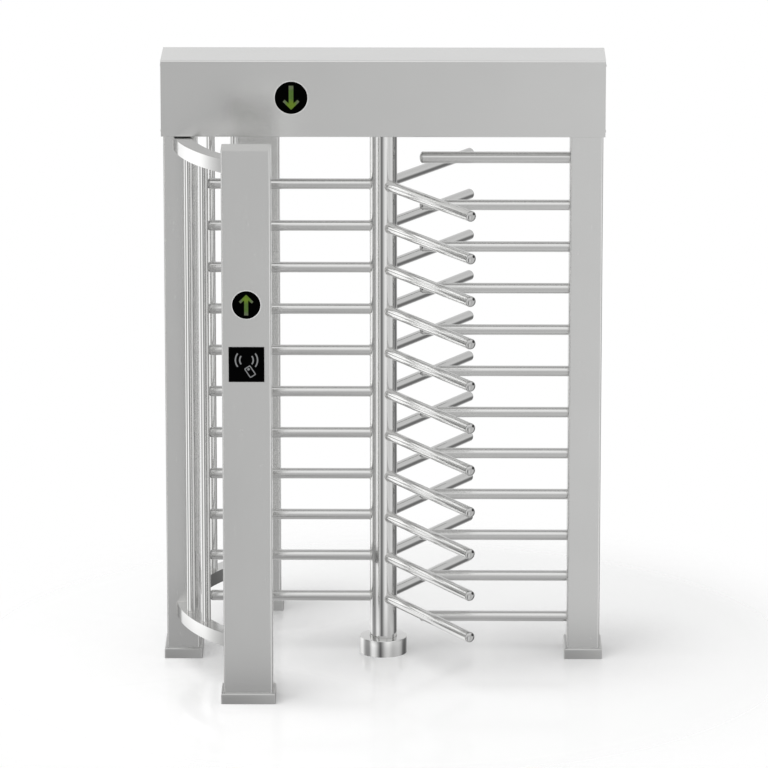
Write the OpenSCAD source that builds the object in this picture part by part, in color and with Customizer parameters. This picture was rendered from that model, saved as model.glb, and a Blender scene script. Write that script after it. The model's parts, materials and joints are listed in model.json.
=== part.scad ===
// Full height turnstile: a three wing rotor between a fixed comb and a curved tube barrier.
// Origin on the floor at the rotor axis, +X to the comb side, -Y to the front, +Z up, millimetres.

/* [Frame] */
// Height of the header's top face above the floor
total_h = 2300; // [2260:10:2500]
// Height of the header box
header_h = 287; // [270:1:340]
// How far the header stands out past the side posts at each end
header_over_x = 6; // [0:1:30]
// How far the header stands out past the side posts at the front and the back
header_over_y = 40; // [36:1:60]
// Sheet thickness of the header
sheet_t = 3; // [2:0.5:4]
// Bend radius outside the header's folded edges
bend_r = 5; // [4.5:0.5:10]

/* [Posts] */
// Width of a side post across the front
side_w = 122; // [100:1:140]
// Depth of a side post from front to back
side_d = 184; // [170:1:210]
// How far a side post's middle stands outside the barrier's curve
side_out = 3; // [0:1:6]
// Width of the front and rear post
aux_w = 180; // [170:1:200]
// Depth of the front and rear post
aux_d = 126; // [110:1:140]
// Distance from the rotor axis to the near face of the front and rear post
aux_near = 559; // [550:1:580]
// How far the front and rear post's middle stands inside the barrier's curve
aux_in = 8.5; // [0:0.5:12]
// How far the front and rear post rise above the header's underside
aux_rise = 63; // [20:1:100]
// Wall thickness of the posts
post_t = 3; // [2:0.5:4]
// Radius of the posts' long edges
post_r = 6; // [4.5:0.5:10]
// Thickness of the base plates
base_t = 10; // [8:1:16]
// Radius of the anchor holes
anchor_r = 7; // [5:0.5:9]
// Distance from an anchor hole's middle to the post's inner wall
anchor_in = 22; // [18:1:26]
// Radius of the cable entry in each base plate
entry_r = 20; // [12:1:22]

/* [Shoes] */
// How far a shoe stands out round its post
shoe_out = 10; // [6:1:14]
// Height of a shoe's upright edge
shoe_edge_h = 33; // [25:1:50]
// Rise of a shoe's slope from its edge to the post
shoe_slope_h = 7; // [3:1:12]
// Gap between a shoe and its post
shoe_gap = 0.2; // [0.1:0.1:0.5]

/* [Barrier] */
// Radius of the barrier's curve, from the rotor axis to the middle of the bands
band_r = 750; // [740:1:765]
// Width of a band from inside to outside
band_w = 62; // [50:1:70]
// Height of a band
band_h = 50; // [40:1:70]
// Wall thickness of a band
band_t = 3; // [2:0.5:4]
// Gap from the header's underside down to the top band
band_drop = 3; // [1:0.5:20]
// Height of the bottom band's underside above the floor
band_low_z = 169; // [120:1:250]
// Radius of a barrier tube
tube_r = 17; // [14:0.5:21]
// Wall thickness of the barrier tubes, arms and comb bars
tube_t = 2; // [1.5:0.5:3]
// Angle of the barrier tube nearest the side post, from the line through the side posts
tube_first_a = 17.4; // [15:0.1:20]
// Angle between barrier tubes
tube_step_a = 11.6; // [10:0.1:12]

/* [Rotor] */
// Radius of the pole
pole_r = 51; // [44.5:0.5:57]
// Wall thickness of the pole
pole_t = 3; // [2:0.5:5]
// Radius of a rotor arm
arm_r = 20; // [16:0.5:24]
// Drop from the header's underside to the top arm's axis
arm_drop = 204; // [180:1:220]
// Height of the lowest arm's axis above the floor
arm_low_z = 219; // [190:1:260]
// Gap from an arm's tip to the inside of the bands
tip_gap = 62; // [40:1:80]
// Radius of the rounded rim on the end caps of arms and bars
cap_round_r = 13; // [8:0.5:14]
// Depth of an end cap's plug in its tube
cap_plug = 14; // [8:1:20]

/* [Comb] */
// Radius of a comb bar
bar_r = 20; // [16:0.5:24]
// Radius of the top comb bar
top_bar_r = 22; // [18:0.5:26]
// Rise of the top comb bar's axis above the top arm's axis
top_bar_rise = 101; // [80:1:120]
// Gap between the pole and the comb bars' tips
comb_gap = 83; // [60:1:110]

/* [Floor pivot] */
// Radius of the collar cover
collar_r = 89; // [84:0.5:100]
// Height of the collar cover
collar_h = 63; // [55:1:75]
// Wall thickness of the collar cover
collar_t = 4; // [2:0.5:5]
// Gap between the pole and the collar cover's hole
collar_gap = 1; // [0.5:0.25:2]
// Gap between the floor plate and the inside of the collar cover
pivot_plate_gap = 5; // [1:0.5:6]
// Thickness of the floor plate
pivot_plate_t = 8; // [6:1:10]
// Distance from an anchor hole's middle to the floor plate's rim
pivot_anchor_in = 18; // [14:0.5:20]
// Radius of the anchor holes in the floor plate
pivot_anchor_r = 6; // [4:0.5:8]
// Radius of the pivot pin
pivot_r = 15; // [12:0.5:18]
// Height of the pivot pin above the floor plate
pivot_h = 48; // [40:1:55]
// Wall thickness of the bottom bush
bush_t = 3; // [2:0.5:5]
// Width of the bush's thrust flange
bush_flange_w = 8; // [6:0.5:10]
// Thickness of the bush's thrust flange
bush_flange_t = 5; // [3:0.5:8]

/* [Lamps and readers] */
// Distance from the rotor axis to the header lamps
header_lamp_x = 339; // [330:1:400]
// Height of the header lamps above the header's underside
header_lamp_up = 148; // [110:1:160]
// Radius of a header lamp's lens
header_lens_r = 60.5; // [40:0.5:68]
// Radius of a post lamp's lens
post_lens_r = 51.5; // [35:0.5:60]
// Height of the post lamps above the floor
post_lamp_z = 1507; // [1480:1:1700]
// Width of the rim round each lens
lamp_rim_w = 3; // [2:0.5:5]
// How far a lamp's rim stands out from its panel
lamp_proud = 2; // [1:0.5:4]
// Depth of a lamp's can behind its panel
lamp_can_d = 30; // [15:1:40]
// Thickness of a lens
lens_t = 4; // [3:0.5:6]
// Side of the square reader panel
reader_w = 130; // [100:1:140]
// Height of the readers' middle above the floor
reader_z = 1285; // [1200:1:1320]
// Thickness of a reader panel
reader_t = 3; // [2:0.5:6]
// Side of the reader module behind the panel
module_w = 96; // [60:1:98]
// Depth of the reader module
module_d = 26; // [15:1:40]

/* [Service door] */
// Distance from the rotor axis to the door opening's left edge
door_left = 250; // [200:1:255]
// Distance from the door opening's right edge to the header's right end
door_end = 100; // [70:1:270]
// Height from the header's underside to the door opening
door_low = 32; // [28:1:45]
// Height from the door opening to the header's top
door_high = 36; // [34:1:45]
// Gap round the door
door_gap = 2; // [1.5:0.5:3]
// Depth of the door's folded edge
door_fold = 14; // [8:1:18]
// Radius of a hinge knuckle
knuckle_r = 5; // [4:0.5:5.5]
// Radius of a hinge pin
hinge_pin_r = 2.5; // [2:0.25:3]
// Length of one hinge
hinge_l = 75; // [60:1:100]
// Radius of the lock's barrel
lock_r = 11; // [9:0.5:13]

/* [Locking mechanism] */
// Radius of the ratchet disc
disc_r = 100; // [92:0.5:101]
// Thickness of the ratchet disc
disc_t = 10; // [8:1:14]
// Depth of a notch in the ratchet disc
notch_d = 14; // [13:0.5:18]
// Width of a notch in the ratchet disc
notch_w = 18; // [16:0.5:22]
// Outer radius of the top bearing
bearing_outer_r = 40; // [36:0.5:44]
// Radius of the spindle in the top bearing
spindle_r = 20; // [17:0.5:22]
// Width of the top bearing
bearing_w = 18; // [16:1:24]
// Radius of a bearing ball
ball_r = 6; // [4.5:0.25:6.5]
// Height of the mechanism plate above the header's floor
plate_up = 44; // [40:1:50]
// Thickness of the mechanism plate
plate_t = 8; // [6:1:12]
// Distance from a pawl's pivot to its nose
pawl_l = 85; // [80:1:90]
// Radius of a pawl's pivot
pawl_pivot_r = 6; // [4:0.5:8]
// Distance along a pawl from its pivot to the plunger
plunger_lever = 45; // [40:1:50]
// Radius of a solenoid's plunger
plunger_r = 6; // [4:0.5:7]

/* [Hidden] */
$fn = 48;
// Reach of every cut past the face that it opens
overrun = 1;
// Radial gap of a running fit
run_gap = 0.05;
// Gap between a welded tube and the curved pole
weld_gap = 0.05;
// Gap between pieces that pass each other closely
pass_gap = 0.3;

header_z = total_h - header_h;
side_x = band_r + side_out;
frame_x = side_x + side_w/2;
header_w = 2*(frame_x + header_over_x);
header_d = side_d + 2*header_over_y;
floor_z = header_z + sheet_t;
post_inner_x = side_x - side_w/2;
aux_x = -(sqrt(band_r*band_r - aux_near*aux_near) - aux_in);
aux_y = aux_near + aux_d/2;
aux_top = header_z + aux_rise;
band_in = band_r - band_w/2;
band_out = band_r + band_w/2;
band_top_z = header_z - band_drop - band_h;
tip_r = band_in - tip_gap;
arm_top_z = header_z - arm_drop;
arm_count = 11;
arm_pitch = (arm_top_z - arm_low_z)/(arm_count - 1);
wing_angles = [180, -60, 60];
bar_tip_x = pole_r + comb_gap;
// Where an arm starts, as a share of the pole's radius, before the pole is cut out of it
root_share = 0.7;

pole_bottom_z = pivot_plate_t + pass_gap + bush_flange_t;
pole_rise = 14;
pole_top_z = floor_z + pole_rise;
bush_r = pivot_r + run_gap + bush_t;
pivot_plate_r = collar_r - collar_t - pivot_plate_gap;
pivot_anchor_ring_r = pivot_plate_r - pivot_anchor_in;
pivot_anchor_count = 4;

// Stack on the mechanism plate, from the header's floor up
plate_z = floor_z + plate_up;
plate_top = plate_z + plate_t;
housing_lip = 4;
housing_wall = 8;
housing_flange = 18;
bearing_z = plate_top + housing_lip;
bearing_top = bearing_z + bearing_w;
ball_ring_r = (bearing_outer_r + spindle_r)/2;
ball_count = 9;
ring_split = 3.5;
cage_h = 3;
shoulder = 4;
spindle_plug_l = 48;
disc_up = 20;
disc_z = bearing_top + disc_up;
disc_top = disc_z + disc_t;
hub_wall = 7;
nut_h = 16;
nut_wall = 10;
plate_half_x = 240;
plate_in = 10;
plate_half_y = header_d/2 - sheet_t - door_fold - plate_in;
spacer_r = 10;
spacer_in = 22;
notch_count = 12;

// Pawls: the nose swings straight into a notch of the disc
pawl_clear = 2.5;
pawl_w = 16;
pawl_nose_w = 10;
pawl_nose_l = 18;
pawl_lead = 2;
pawl_x = disc_r + pawl_clear + pawl_nose_l;
pawl_boss_wall = 6;
pawl_boss_r = pawl_pivot_r + pawl_boss_wall;
pivot_stand = 6;
solenoid_l = 60;
solenoid_w = 36;
solenoid_gap = 34;
plunger_tip_r = 2.5;
plunger_tip_l = 12;
plunger_gap = 0.6;
plunger_z = disc_z + disc_t/2;
plunger_reach = 30;
plunger_face_x = -pawl_x - pawl_w/2 - plunger_gap;
solenoid_face_x = plunger_face_x - solenoid_gap;
sensor_a = 45;
sensor_w = 24;
sensor_d = 10;
sensor_arm = 8;

// Service door
door_h = header_h - door_low - door_high;
door_w = door_left + header_w/2 - door_end;
door_x = door_w/2 - door_left;
door_z = header_z + door_low;
hinge_y = header_d/2 + pass_gap + knuckle_r;
hinge_up = 4;
hinge_z = door_z + door_h + hinge_up;
hinge_leaf_t = 2;
hinge_leaf_h = 22;
hinge_xs = [for (s = [-1, 0, 1]) door_x + s*(door_w/2 - hinge_l)];
knuckle_share = 1/3;
lock_up = 22;
lock_rim = 4;
lock_flange_t = 3;
lock_depth = door_fold + pass_gap;
lock_wall = 3;
plug_r = lock_r - lock_wall;
cam_l = 34;
cam_w = 14;
cam_t = 3;
keeper_l = 40;
key_share = 0.5;
key_slot_d = 2;

// Electronics
supply_end = 150;
supply_w = 110;
supply_d = 180;
supply_h = 50;
supply_x = header_w/2 - supply_end - supply_w;
board_gap = 30;
board_w = 230;
board_d = 140;
board_t = 2;
board_up = 12;
board_x = supply_x - board_gap - board_w;
board_foot_in = 8;
board_foot_r = 4;
terminal_count = 8;
terminal_pitch = 22;
terminal_share = 0.8;
relay_count = 4;
relay_pitch = 44;
relay_share = 0.7;
vent_count = 10;
vent_in = 12;
vent_pitch = 16;
vent_depth = 2;

// Lamps
can_wall = 1.5;

// Arrow and reader sign, as shares of their own height and width
arrow_size_share = 1.5;
arrow_shares = [[0, 0.5], [0.34, 0.16], [0.26, 0.08], [0.095, 0.23], [0.095, -0.5],
    [-0.095, -0.5], [-0.095, 0.23], [-0.26, 0.08], [-0.34, 0.16]];
arrow_depth = 1;
sign_depth = 0.6;
sign_centre_shares = [0, 0.13];
wave_radius_shares = [0.19, 0.31];
wave_stroke_share = 0.04;
wave_half_a = 38;
card_size_shares = [0.2, 0.32];
card_centre_shares = [0.1, -0.2];
card_tilt_a = 33;
card_stroke_share = 0.028;
card_round_share = 0.03;

// Shared shapes

module rounded_rect(w, d, r) {
    square([w - 2*r, d], center = true);
    square([w, d - 2*r], center = true);
    for (sx = [-1, 1], sy = [-1, 1])
        translate([sx*(w/2 - r), sy*(d/2 - r)]) circle(r);
}

module tube(r, t, l) {
    difference() {
        cylinder(r = r, h = l);
        translate([0, 0, -overrun]) cylinder(r = r - t, h = l + 2*overrun);
    }
}

module front_and_rear() {
    children();
    mirror([0, 1, 0]) children();
}

module left_and_right() {
    children();
    mirror([1, 0, 0]) children();
}

// Profile drawn across Y and Z, pushed out along X about the middle
module along_x(l) {
    rotate([90, 0, 90]) linear_extrude(l, center = true) children();
}

// Header

module header_profile(inset) {
    rounded_rect(header_d - 2*inset, header_h - 2*inset, bend_r - inset);
}

// The part of the header's sheet section between two distances from its middle
module header_strip(near_y, far_y) {
    intersection() {
        difference() {
            header_profile(0);
            header_profile(sheet_t);
        }
        translate([near_y, -header_h]) square([far_y - near_y, 2*header_h]);
    }
}

// Front and rear sheets with their bends, the rear one in four round the door, and flat top and floor sheets
module header_shell() color("silver") {
    sheet_l = header_w - 2*sheet_t;
    fold_y = header_d/2 - bend_r;
    difference() {
        translate([0, 0, header_z + header_h/2]) {
            along_x(sheet_l) header_strip(-header_d/2, -fold_y - weld_gap);
            along_x(sheet_l) header_strip(-fold_y, fold_y);
            along_x(sheet_l) header_strip(fold_y + weld_gap, header_d/2);
        }
        for (s = [-1, 1]) translate([door_x + s*door_w/2 - weld_gap/2, fold_y, header_z - overrun])
            cube([weld_gap, header_d, header_h + 2*overrun]);
        translate([0, 0, header_z - overrun])
            cylinder(r = pole_r + collar_gap + sheet_t, h = sheet_t + 2*overrun);
        translate([door_x - door_w/2, header_d/2 - sheet_t - overrun, door_z])
            cube([door_w, sheet_t + 2*overrun, door_h]);
        for (s = [-1, 1])
            translate([s*side_x, 0, header_z - overrun]) cylinder(r = entry_r, h = sheet_t + 2*overrun);
        front_and_rear() at_header_lamp() lamp_hole(header_lens_r);
    }
    for (x = hinge_xs) fixed_leaf(x);
    // Keeper: a lip under the opening for the lock's cam
    translate([door_x - keeper_l/2, header_d/2 - door_fold, door_z - sheet_t])
        cube([keeper_l, door_fold - sheet_t + overrun, sheet_t]);
}

module header_ends() color("silver")
    left_and_right()
        translate([header_w/2 - sheet_t/2, 0, header_z + header_h/2]) along_x(sheet_t) header_profile(0);

// Fixed leaf: a plate above the opening with the two outer knuckles
module fixed_leaf(x) {
    knuckle_l = hinge_l*knuckle_share;
    difference() {
        union() {
            translate([x - hinge_l/2, header_d/2, hinge_z])
                cube([hinge_l, pass_gap + hinge_leaf_t, hinge_leaf_h]);
            for (s = [-1, 1]) translate([x + s*knuckle_l, hinge_y, hinge_z])
                rotate([0, 90, 0]) cylinder(r = knuckle_r, h = knuckle_l - 2*pass_gap, center = true);
        }
        translate([x - hinge_l, hinge_y, hinge_z])
            rotate([0, 90, 0]) cylinder(r = hinge_pin_r, h = 2*hinge_l);
        translate([x - knuckle_l/2 - pass_gap, header_d/2 - overrun, hinge_z - knuckle_r])
            cube([knuckle_l + 2*pass_gap, 2*knuckle_r, 2*knuckle_r + pass_gap]);
    }
}

// Moving leaf: a plate on the door with the middle knuckle
module moving_leaf(x) {
    knuckle_l = hinge_l*knuckle_share;
    leaf_z = door_z + door_h - door_gap - hinge_leaf_h;
    difference() {
        union() {
            translate([x - hinge_l/2, header_d/2, leaf_z])
                cube([hinge_l, pass_gap + hinge_leaf_t, hinge_leaf_h - knuckle_r]);
            translate([x - knuckle_l/2 + pass_gap, header_d/2 + pass_gap, leaf_z])
                cube([knuckle_l - 2*pass_gap, hinge_leaf_t, hinge_z - leaf_z]);
            translate([x, hinge_y, hinge_z])
                rotate([0, 90, 0]) cylinder(r = knuckle_r, h = knuckle_l - 2*pass_gap, center = true);
        }
        translate([x - hinge_l, hinge_y, hinge_z])
            rotate([0, 90, 0]) cylinder(r = hinge_pin_r + run_gap, h = 2*hinge_l);
    }
}

module door_hinge_pins() color("dimgray")
    for (x = hinge_xs) translate([x, hinge_y, hinge_z])
        rotate([0, 90, 0]) cylinder(r = hinge_pin_r, h = hinge_l, center = true);

module header_door() color("silver") {
    leaf_w = door_w - 2*door_gap;
    leaf_h = door_h - 2*door_gap;
    difference() {
        translate([door_x - leaf_w/2, header_d/2 - door_fold, door_z + door_gap])
            cube([leaf_w, door_fold, leaf_h]);
        translate([door_x - leaf_w/2 + sheet_t, header_d/2 - door_fold - overrun, door_z + door_gap])
            translate([0, 0, sheet_t]) cube([leaf_w - 2*sheet_t, door_fold - sheet_t + overrun, leaf_h - 2*sheet_t]);
        at_lock() translate([0, 0, -lock_depth]) cylinder(r = lock_r, h = 2*lock_depth);
    }
    for (x = hinge_xs) moving_leaf(x);
}

// Frame of the lock: its axis points out of the rear face
module at_lock() translate([door_x, header_d/2, door_z + lock_up]) rotate([-90, 0, 0]) children();

module door_lock_barrel() color("gainsboro")
    at_lock() difference() {
        union() {
            cylinder(r = lock_r + lock_rim, h = lock_flange_t);
            translate([0, 0, -lock_depth]) cylinder(r = lock_r, h = lock_depth + overrun);
        }
        translate([0, 0, -lock_depth - overrun])
            cylinder(r = plug_r + run_gap, h = lock_depth + lock_flange_t + 2*overrun);
    }

// Turned to the side when unlocked, and down behind the keeper's edge when locked
module door_lock_cam() color("dimgray")
    at_lock() {
        difference() {
            translate([0, 0, -lock_depth]) cylinder(r = plug_r, h = lock_depth + lock_flange_t);
            translate([-plug_r*key_share, -lock_flange_t/4, lock_flange_t - key_slot_d])
                cube([2*plug_r*key_share, lock_flange_t/2, key_slot_d + overrun]);
        }
        translate([0, 0, -lock_depth - pass_gap - cam_t]) {
            cylinder(r = plug_r, h = cam_t + 2*pass_gap);
            translate([0, -cam_w/2, 0]) cube([cam_l, cam_w, cam_t]);
        }
    }

// Mechanism on its plate

module mechanism_plate() color("lightsteelblue")
    difference() {
        translate([0, 0, plate_z]) linear_extrude(plate_t)
            rounded_rect(2*plate_half_x, 2*plate_half_y, spacer_r);
        translate([0, 0, plate_z - overrun]) cylinder(r = spindle_r + 2*shoulder, h = plate_t + 2*overrun);
    }

module mechanism_spacers() color("dimgray")
    for (sx = [-1, 1], sy = [-1, 1])
        translate([sx*(plate_half_x - spacer_in), sy*(plate_half_y - spacer_in), floor_z])
            cylinder(r = spacer_r, h = plate_up);

module bearing_housing() color("slategray")
    difference() {
        translate([0, 0, plate_top]) union() {
            cylinder(r = bearing_outer_r + housing_wall + housing_flange, h = housing_wall);
            cylinder(r = bearing_outer_r + housing_wall, h = housing_lip + bearing_w);
        }
        translate([0, 0, plate_top - overrun])
            cylinder(r = bearing_outer_r - ring_split, h = bearing_w + 2*housing_lip + 2*overrun);
        translate([0, 0, bearing_z]) cylinder(r = bearing_outer_r, h = bearing_w + overrun);
    }

module ball_groove(gap) {
    translate([0, 0, bearing_z + bearing_w/2])
        rotate_extrude() translate([ball_ring_r, 0]) circle(ball_r + gap);
}

module top_bearing_outer() color("gainsboro")
    difference() {
        translate([0, 0, bearing_z])
            tube(bearing_outer_r, bearing_outer_r - ball_ring_r - ring_split, bearing_w);
        ball_groove(run_gap);
    }

module top_bearing_inner() color("gainsboro")
    difference() {
        translate([0, 0, bearing_z])
            tube(ball_ring_r - ring_split, ball_ring_r - ring_split - spindle_r, bearing_w);
        ball_groove(run_gap);
    }

// Balls joined by the thin ring of their cage
module top_bearing_balls() color("white")
    translate([0, 0, bearing_z + bearing_w/2]) {
        for (i = [0:ball_count - 1]) rotate(i*360/ball_count)
            translate([ball_ring_r, 0, 0]) sphere(ball_r);
        translate([0, 0, -cage_h/2]) tube(ball_ring_r + ring_split/2, ring_split, cage_h);
    }

// Solid plug in the pole's top, stepped up through the bearing to a thread
module spindle() color("lightgray") {
    translate([0, 0, pole_top_z - spindle_plug_l]) cylinder(r = pole_r - pole_t, h = spindle_plug_l);
    translate([0, 0, pole_top_z]) cylinder(r = pole_r, h = shoulder);
    translate([0, 0, pole_top_z]) cylinder(r = spindle_r + shoulder, h = bearing_z - pole_top_z);
    translate([0, 0, pole_top_z]) cylinder(r = spindle_r, h = disc_top - pole_top_z);
    translate([0, 0, disc_top - shoulder]) cylinder(r = spindle_r - shoulder, h = nut_h + 2*shoulder);
}

module spindle_nut() color("dimgray")
    difference() {
        translate([0, 0, disc_top]) cylinder(r = spindle_r - shoulder + nut_wall, h = nut_h, $fn = 6);
        translate([0, 0, disc_top - overrun]) cylinder(r = spindle_r - shoulder, h = nut_h + 2*overrun);
    }

module ratchet_disc() color("darkgray")
    difference() {
        union() {
            translate([0, 0, bearing_top]) cylinder(r = spindle_r + hub_wall, h = disc_up + overrun);
            translate([0, 0, disc_z]) linear_extrude(disc_t) difference() {
                circle(disc_r);
                for (i = [0:notch_count - 1]) rotate(i*360/notch_count)
                    translate([disc_r - notch_d, -notch_w/2]) square([notch_d + overrun, notch_w]);
            }
        }
        translate([0, 0, bearing_top - overrun])
            cylinder(r = spindle_r, h = disc_up + disc_t + 2*overrun);
    }

// The second pawl, plunger and solenoid are the first turned half round the axis
module pawl_side(rear) rotate(rear ? 180 : 0) children();

module pawl_pivots() color("gray")
    for (rear = [false, true]) pawl_side(rear) translate([-pawl_x, -pawl_l, plate_top]) {
        cylinder(r = pawl_boss_r, h = disc_z - plate_top - pass_gap);
        cylinder(r = pawl_pivot_r, h = disc_top - plate_top + pivot_stand);
    }

module pawl(rear) color("peru")
    pawl_side(rear) translate([-pawl_x, -pawl_l, disc_z]) difference() {
        union() {
            cylinder(r = pawl_boss_r, h = disc_t);
            translate([-pawl_w/2, 0, 0]) cube([pawl_w, pawl_l + pawl_lead + pawl_nose_w/2, disc_t]);
            translate([0, pawl_l + pawl_lead - pawl_nose_w/2, 0]) cube([pawl_nose_l, pawl_nose_w, disc_t]);
        }
        translate([0, 0, -overrun]) cylinder(r = pawl_pivot_r + run_gap, h = disc_t + 2*overrun);
    }

module solenoid(rear) color("royalblue")
    pawl_side(rear) difference() {
        translate([solenoid_face_x - solenoid_l, -pawl_l + plunger_lever - solenoid_w/2, plate_top])
            cube([solenoid_l, solenoid_w, plunger_z - plate_top + solenoid_w/2]);
        translate([solenoid_face_x - solenoid_l/2 - plunger_reach/2, -pawl_l + plunger_lever, plunger_z])
            rotate([0, 90, 0]) cylinder(r = plunger_r + run_gap, h = solenoid_l);
    }

module plunger(rear) color("whitesmoke")
    pawl_side(rear) translate([solenoid_face_x - plunger_reach, -pawl_l + plunger_lever, plunger_z])
        rotate([0, 90, 0]) {
            cylinder(r = plunger_r, h = plunger_reach + solenoid_gap - plunger_tip_l);
            cylinder(r = plunger_tip_r, h = plunger_reach + solenoid_gap);
        }

// Post with an arm above the disc's rim
module position_sensor() color("darkslategray")
    rotate(sensor_a) translate([-sensor_w/2, disc_r + pawl_clear, plate_top]) {
        cube([sensor_w, sensor_d, disc_top - plate_top + 2*pawl_clear + sensor_arm]);
        translate([0, -notch_d, disc_top - plate_top + 2*pawl_clear])
            cube([sensor_w, notch_d + overrun, sensor_arm]);
    }

module control_board() color("seagreen")
    translate([board_x, -board_d/2, floor_z]) {
        for (x = [board_foot_in, board_w - board_foot_in], y = [board_foot_in, board_d - board_foot_in])
            translate([x, y, 0]) cylinder(r = board_foot_r, h = board_up + board_t);
        translate([0, 0, board_up]) cube([board_w, board_d, board_t]);
        for (i = [0:terminal_count - 1])
            translate([board_foot_in*2 + i*terminal_pitch, board_foot_in, board_up])
                cube([terminal_pitch*terminal_share, board_foot_in*2, board_foot_in*2]);
        for (i = [0:relay_count - 1])
            translate([board_foot_in*2 + i*relay_pitch, board_d - 5*board_foot_in, board_up])
                cube([relay_pitch*relay_share, board_foot_in*3, board_foot_in*2.5]);
    }

module power_supply() color("lightgray")
    translate([supply_x, -supply_d/2, floor_z]) difference() {
        cube([supply_w, supply_d, supply_h]);
        for (i = [0:vent_count - 1])
            translate([vent_in, vent_in + i*vent_pitch, supply_h - vent_depth])
                cube([supply_w - 2*vent_in, vent_pitch/2, vent_depth + overrun]);
    }

// Posts, base plates and shoes

module hollow_post(w, d, h) {
    difference() {
        linear_extrude(h) rounded_rect(w, d, post_r);
        translate([0, 0, -overrun]) linear_extrude(h + 2*overrun)
            rounded_rect(w - 2*post_t, d - 2*post_t, post_r - post_t);
    }
}

module side_post() color("silver") translate([side_x, 0, 0]) hollow_post(side_w, side_d, header_z);

module at_aux() translate([aux_x, -aux_y, 0]) children();

module aux_post() color("silver")
    difference() {
        at_aux() hollow_post(aux_w, aux_d, aux_top - sheet_t);
        at_post_lamp() lamp_hole(post_lens_r);
        at_reader() translate([0, 0, -post_t - overrun]) linear_extrude(post_t + 2*overrun)
            square(module_w + 2*pass_gap, center = true);
    }

module post_caps() color("silver")
    front_and_rear() at_aux() translate([0, 0, aux_top - sheet_t])
        linear_extrude(sheet_t) rounded_rect(aux_w, aux_d, post_r);

module base_plate(w, d) {
    inner_w = w - 2*post_t;
    inner_d = d - 2*post_t;
    difference() {
        linear_extrude(base_t) rounded_rect(inner_w, inner_d, post_r - post_t);
        translate([0, 0, -overrun]) cylinder(r = entry_r, h = base_t + 2*overrun);
        for (sx = [-1, 1], sy = [-1, 1])
            translate([sx*(inner_w/2 - anchor_in), sy*(inner_d/2 - anchor_in), -overrun])
                cylinder(r = anchor_r, h = base_t + 2*overrun);
    }
}

module side_base_plates() color("gray") left_and_right() translate([side_x, 0, 0]) base_plate(side_w, side_d);

module aux_base_plates() color("gray") front_and_rear() at_aux() base_plate(aux_w, aux_d);

// Upright skirt with a sloped top edge, made where two pushed out outlines meet
module shoe(w, d) {
    h = shoe_edge_h + shoe_slope_h;
    difference() {
        intersection() {
            rotate([90, 0, 0]) linear_extrude(d + 2*shoe_out, center = true) shoe_outline(w);
            rotate([90, 0, 90]) linear_extrude(w + 2*shoe_out, center = true) shoe_outline(d);
        }
        translate([0, 0, -overrun]) linear_extrude(h + 2*overrun)
            rounded_rect(w + 2*shoe_gap, d + 2*shoe_gap, post_r + shoe_gap);
    }
}

module shoe_outline(w) {
    h = shoe_edge_h + shoe_slope_h;
    polygon([[-w/2 - shoe_out, 0], [w/2 + shoe_out, 0], [w/2 + shoe_out, shoe_edge_h],
        [w/2, h], [-w/2, h], [-w/2 - shoe_out, shoe_edge_h]]);
}

module side_shoes() color("lightgray") left_and_right() translate([side_x, 0, 0]) shoe(side_w, side_d);

module aux_shoes() color("lightgray") front_and_rear() at_aux() shoe(aux_w, aux_d);

// Barrier

// A box section bent round the rotor axis, cut off at the faces of the two posts
module band(z) color("gainsboro")
    intersection() {
        translate([0, 0, z]) rotate(180) rotate_extrude(angle = 90, $fn = 180) difference() {
            translate([band_in, 0]) square([band_w, band_h]);
            translate([band_in + band_t, band_t]) square([band_w - 2*band_t, band_h - 2*band_t]);
        }
        translate([-band_out - overrun, -aux_near, z - overrun])
            cube([band_out + 2*overrun, aux_near - side_d/2, band_h + 2*overrun]);
    }

module barrier_tubes() color("gainsboro")
    for (i = [0:2]) rotate(180 + tube_first_a + i*tube_step_a)
        translate([band_r, 0, band_low_z + band_h])
            tube(tube_r, tube_t, band_top_z - band_low_z - band_h);

// Comb

// End cap of a tube, its rounded rim outermost along +Z
module end_cap(r) {
    rotate_extrude() union() {
        square([r - cap_round_r, cap_round_r]);
        intersection() {
            translate([r - cap_round_r, 0]) circle(cap_round_r);
            square([r, cap_round_r]);
        }
    }
    translate([0, 0, -cap_plug]) cylinder(r = r - tube_t, h = cap_plug + overrun);
}

function bar_z(i) = i == 0 ? arm_top_z + top_bar_rise : arm_top_z - (i - 0.5)*arm_pitch;
function bar_radius(i) = i == 0 ? top_bar_r : bar_r;

module comb_bars() color("gainsboro")
    for (i = [0:arm_count]) translate([bar_tip_x + cap_round_r, 0, bar_z(i)])
        rotate([0, 90, 0]) tube(bar_radius(i), tube_t, post_inner_x - bar_tip_x - cap_round_r);

module comb_caps() color("lightgray")
    for (i = [0:arm_count]) translate([bar_tip_x + cap_round_r, 0, bar_z(i)])
        rotate([0, -90, 0]) end_cap(bar_radius(i));

// Rotor

module pole() color("gainsboro")
    translate([0, 0, pole_bottom_z]) tube(pole_r, pole_t, pole_top_z - pole_bottom_z);

module arms(a) color("gainsboro")
    rotate(a) difference() {
        for (i = [0:arm_count - 1]) translate([pole_r*root_share, 0, arm_top_z - i*arm_pitch])
            rotate([0, 90, 0]) tube(arm_r, tube_t, tip_r - cap_round_r - pole_r*root_share);
        translate([0, 0, pole_bottom_z]) cylinder(r = pole_r + weld_gap, h = pole_top_z - pole_bottom_z);
    }

module arm_caps() color("lightgray")
    for (a = wing_angles, i = [0:arm_count - 1]) rotate(a)
        translate([tip_r - cap_round_r, 0, arm_top_z - i*arm_pitch]) rotate([0, 90, 0]) end_cap(arm_r);

// Floor pivot

module bottom_plug() color("darkgray")
    translate([0, 0, pole_bottom_z]) difference() {
        cylinder(r = pole_r - pole_t, h = pivot_h);
        translate([0, 0, -overrun]) cylinder(r = bush_r, h = pivot_h + 2*overrun);
    }

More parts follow.
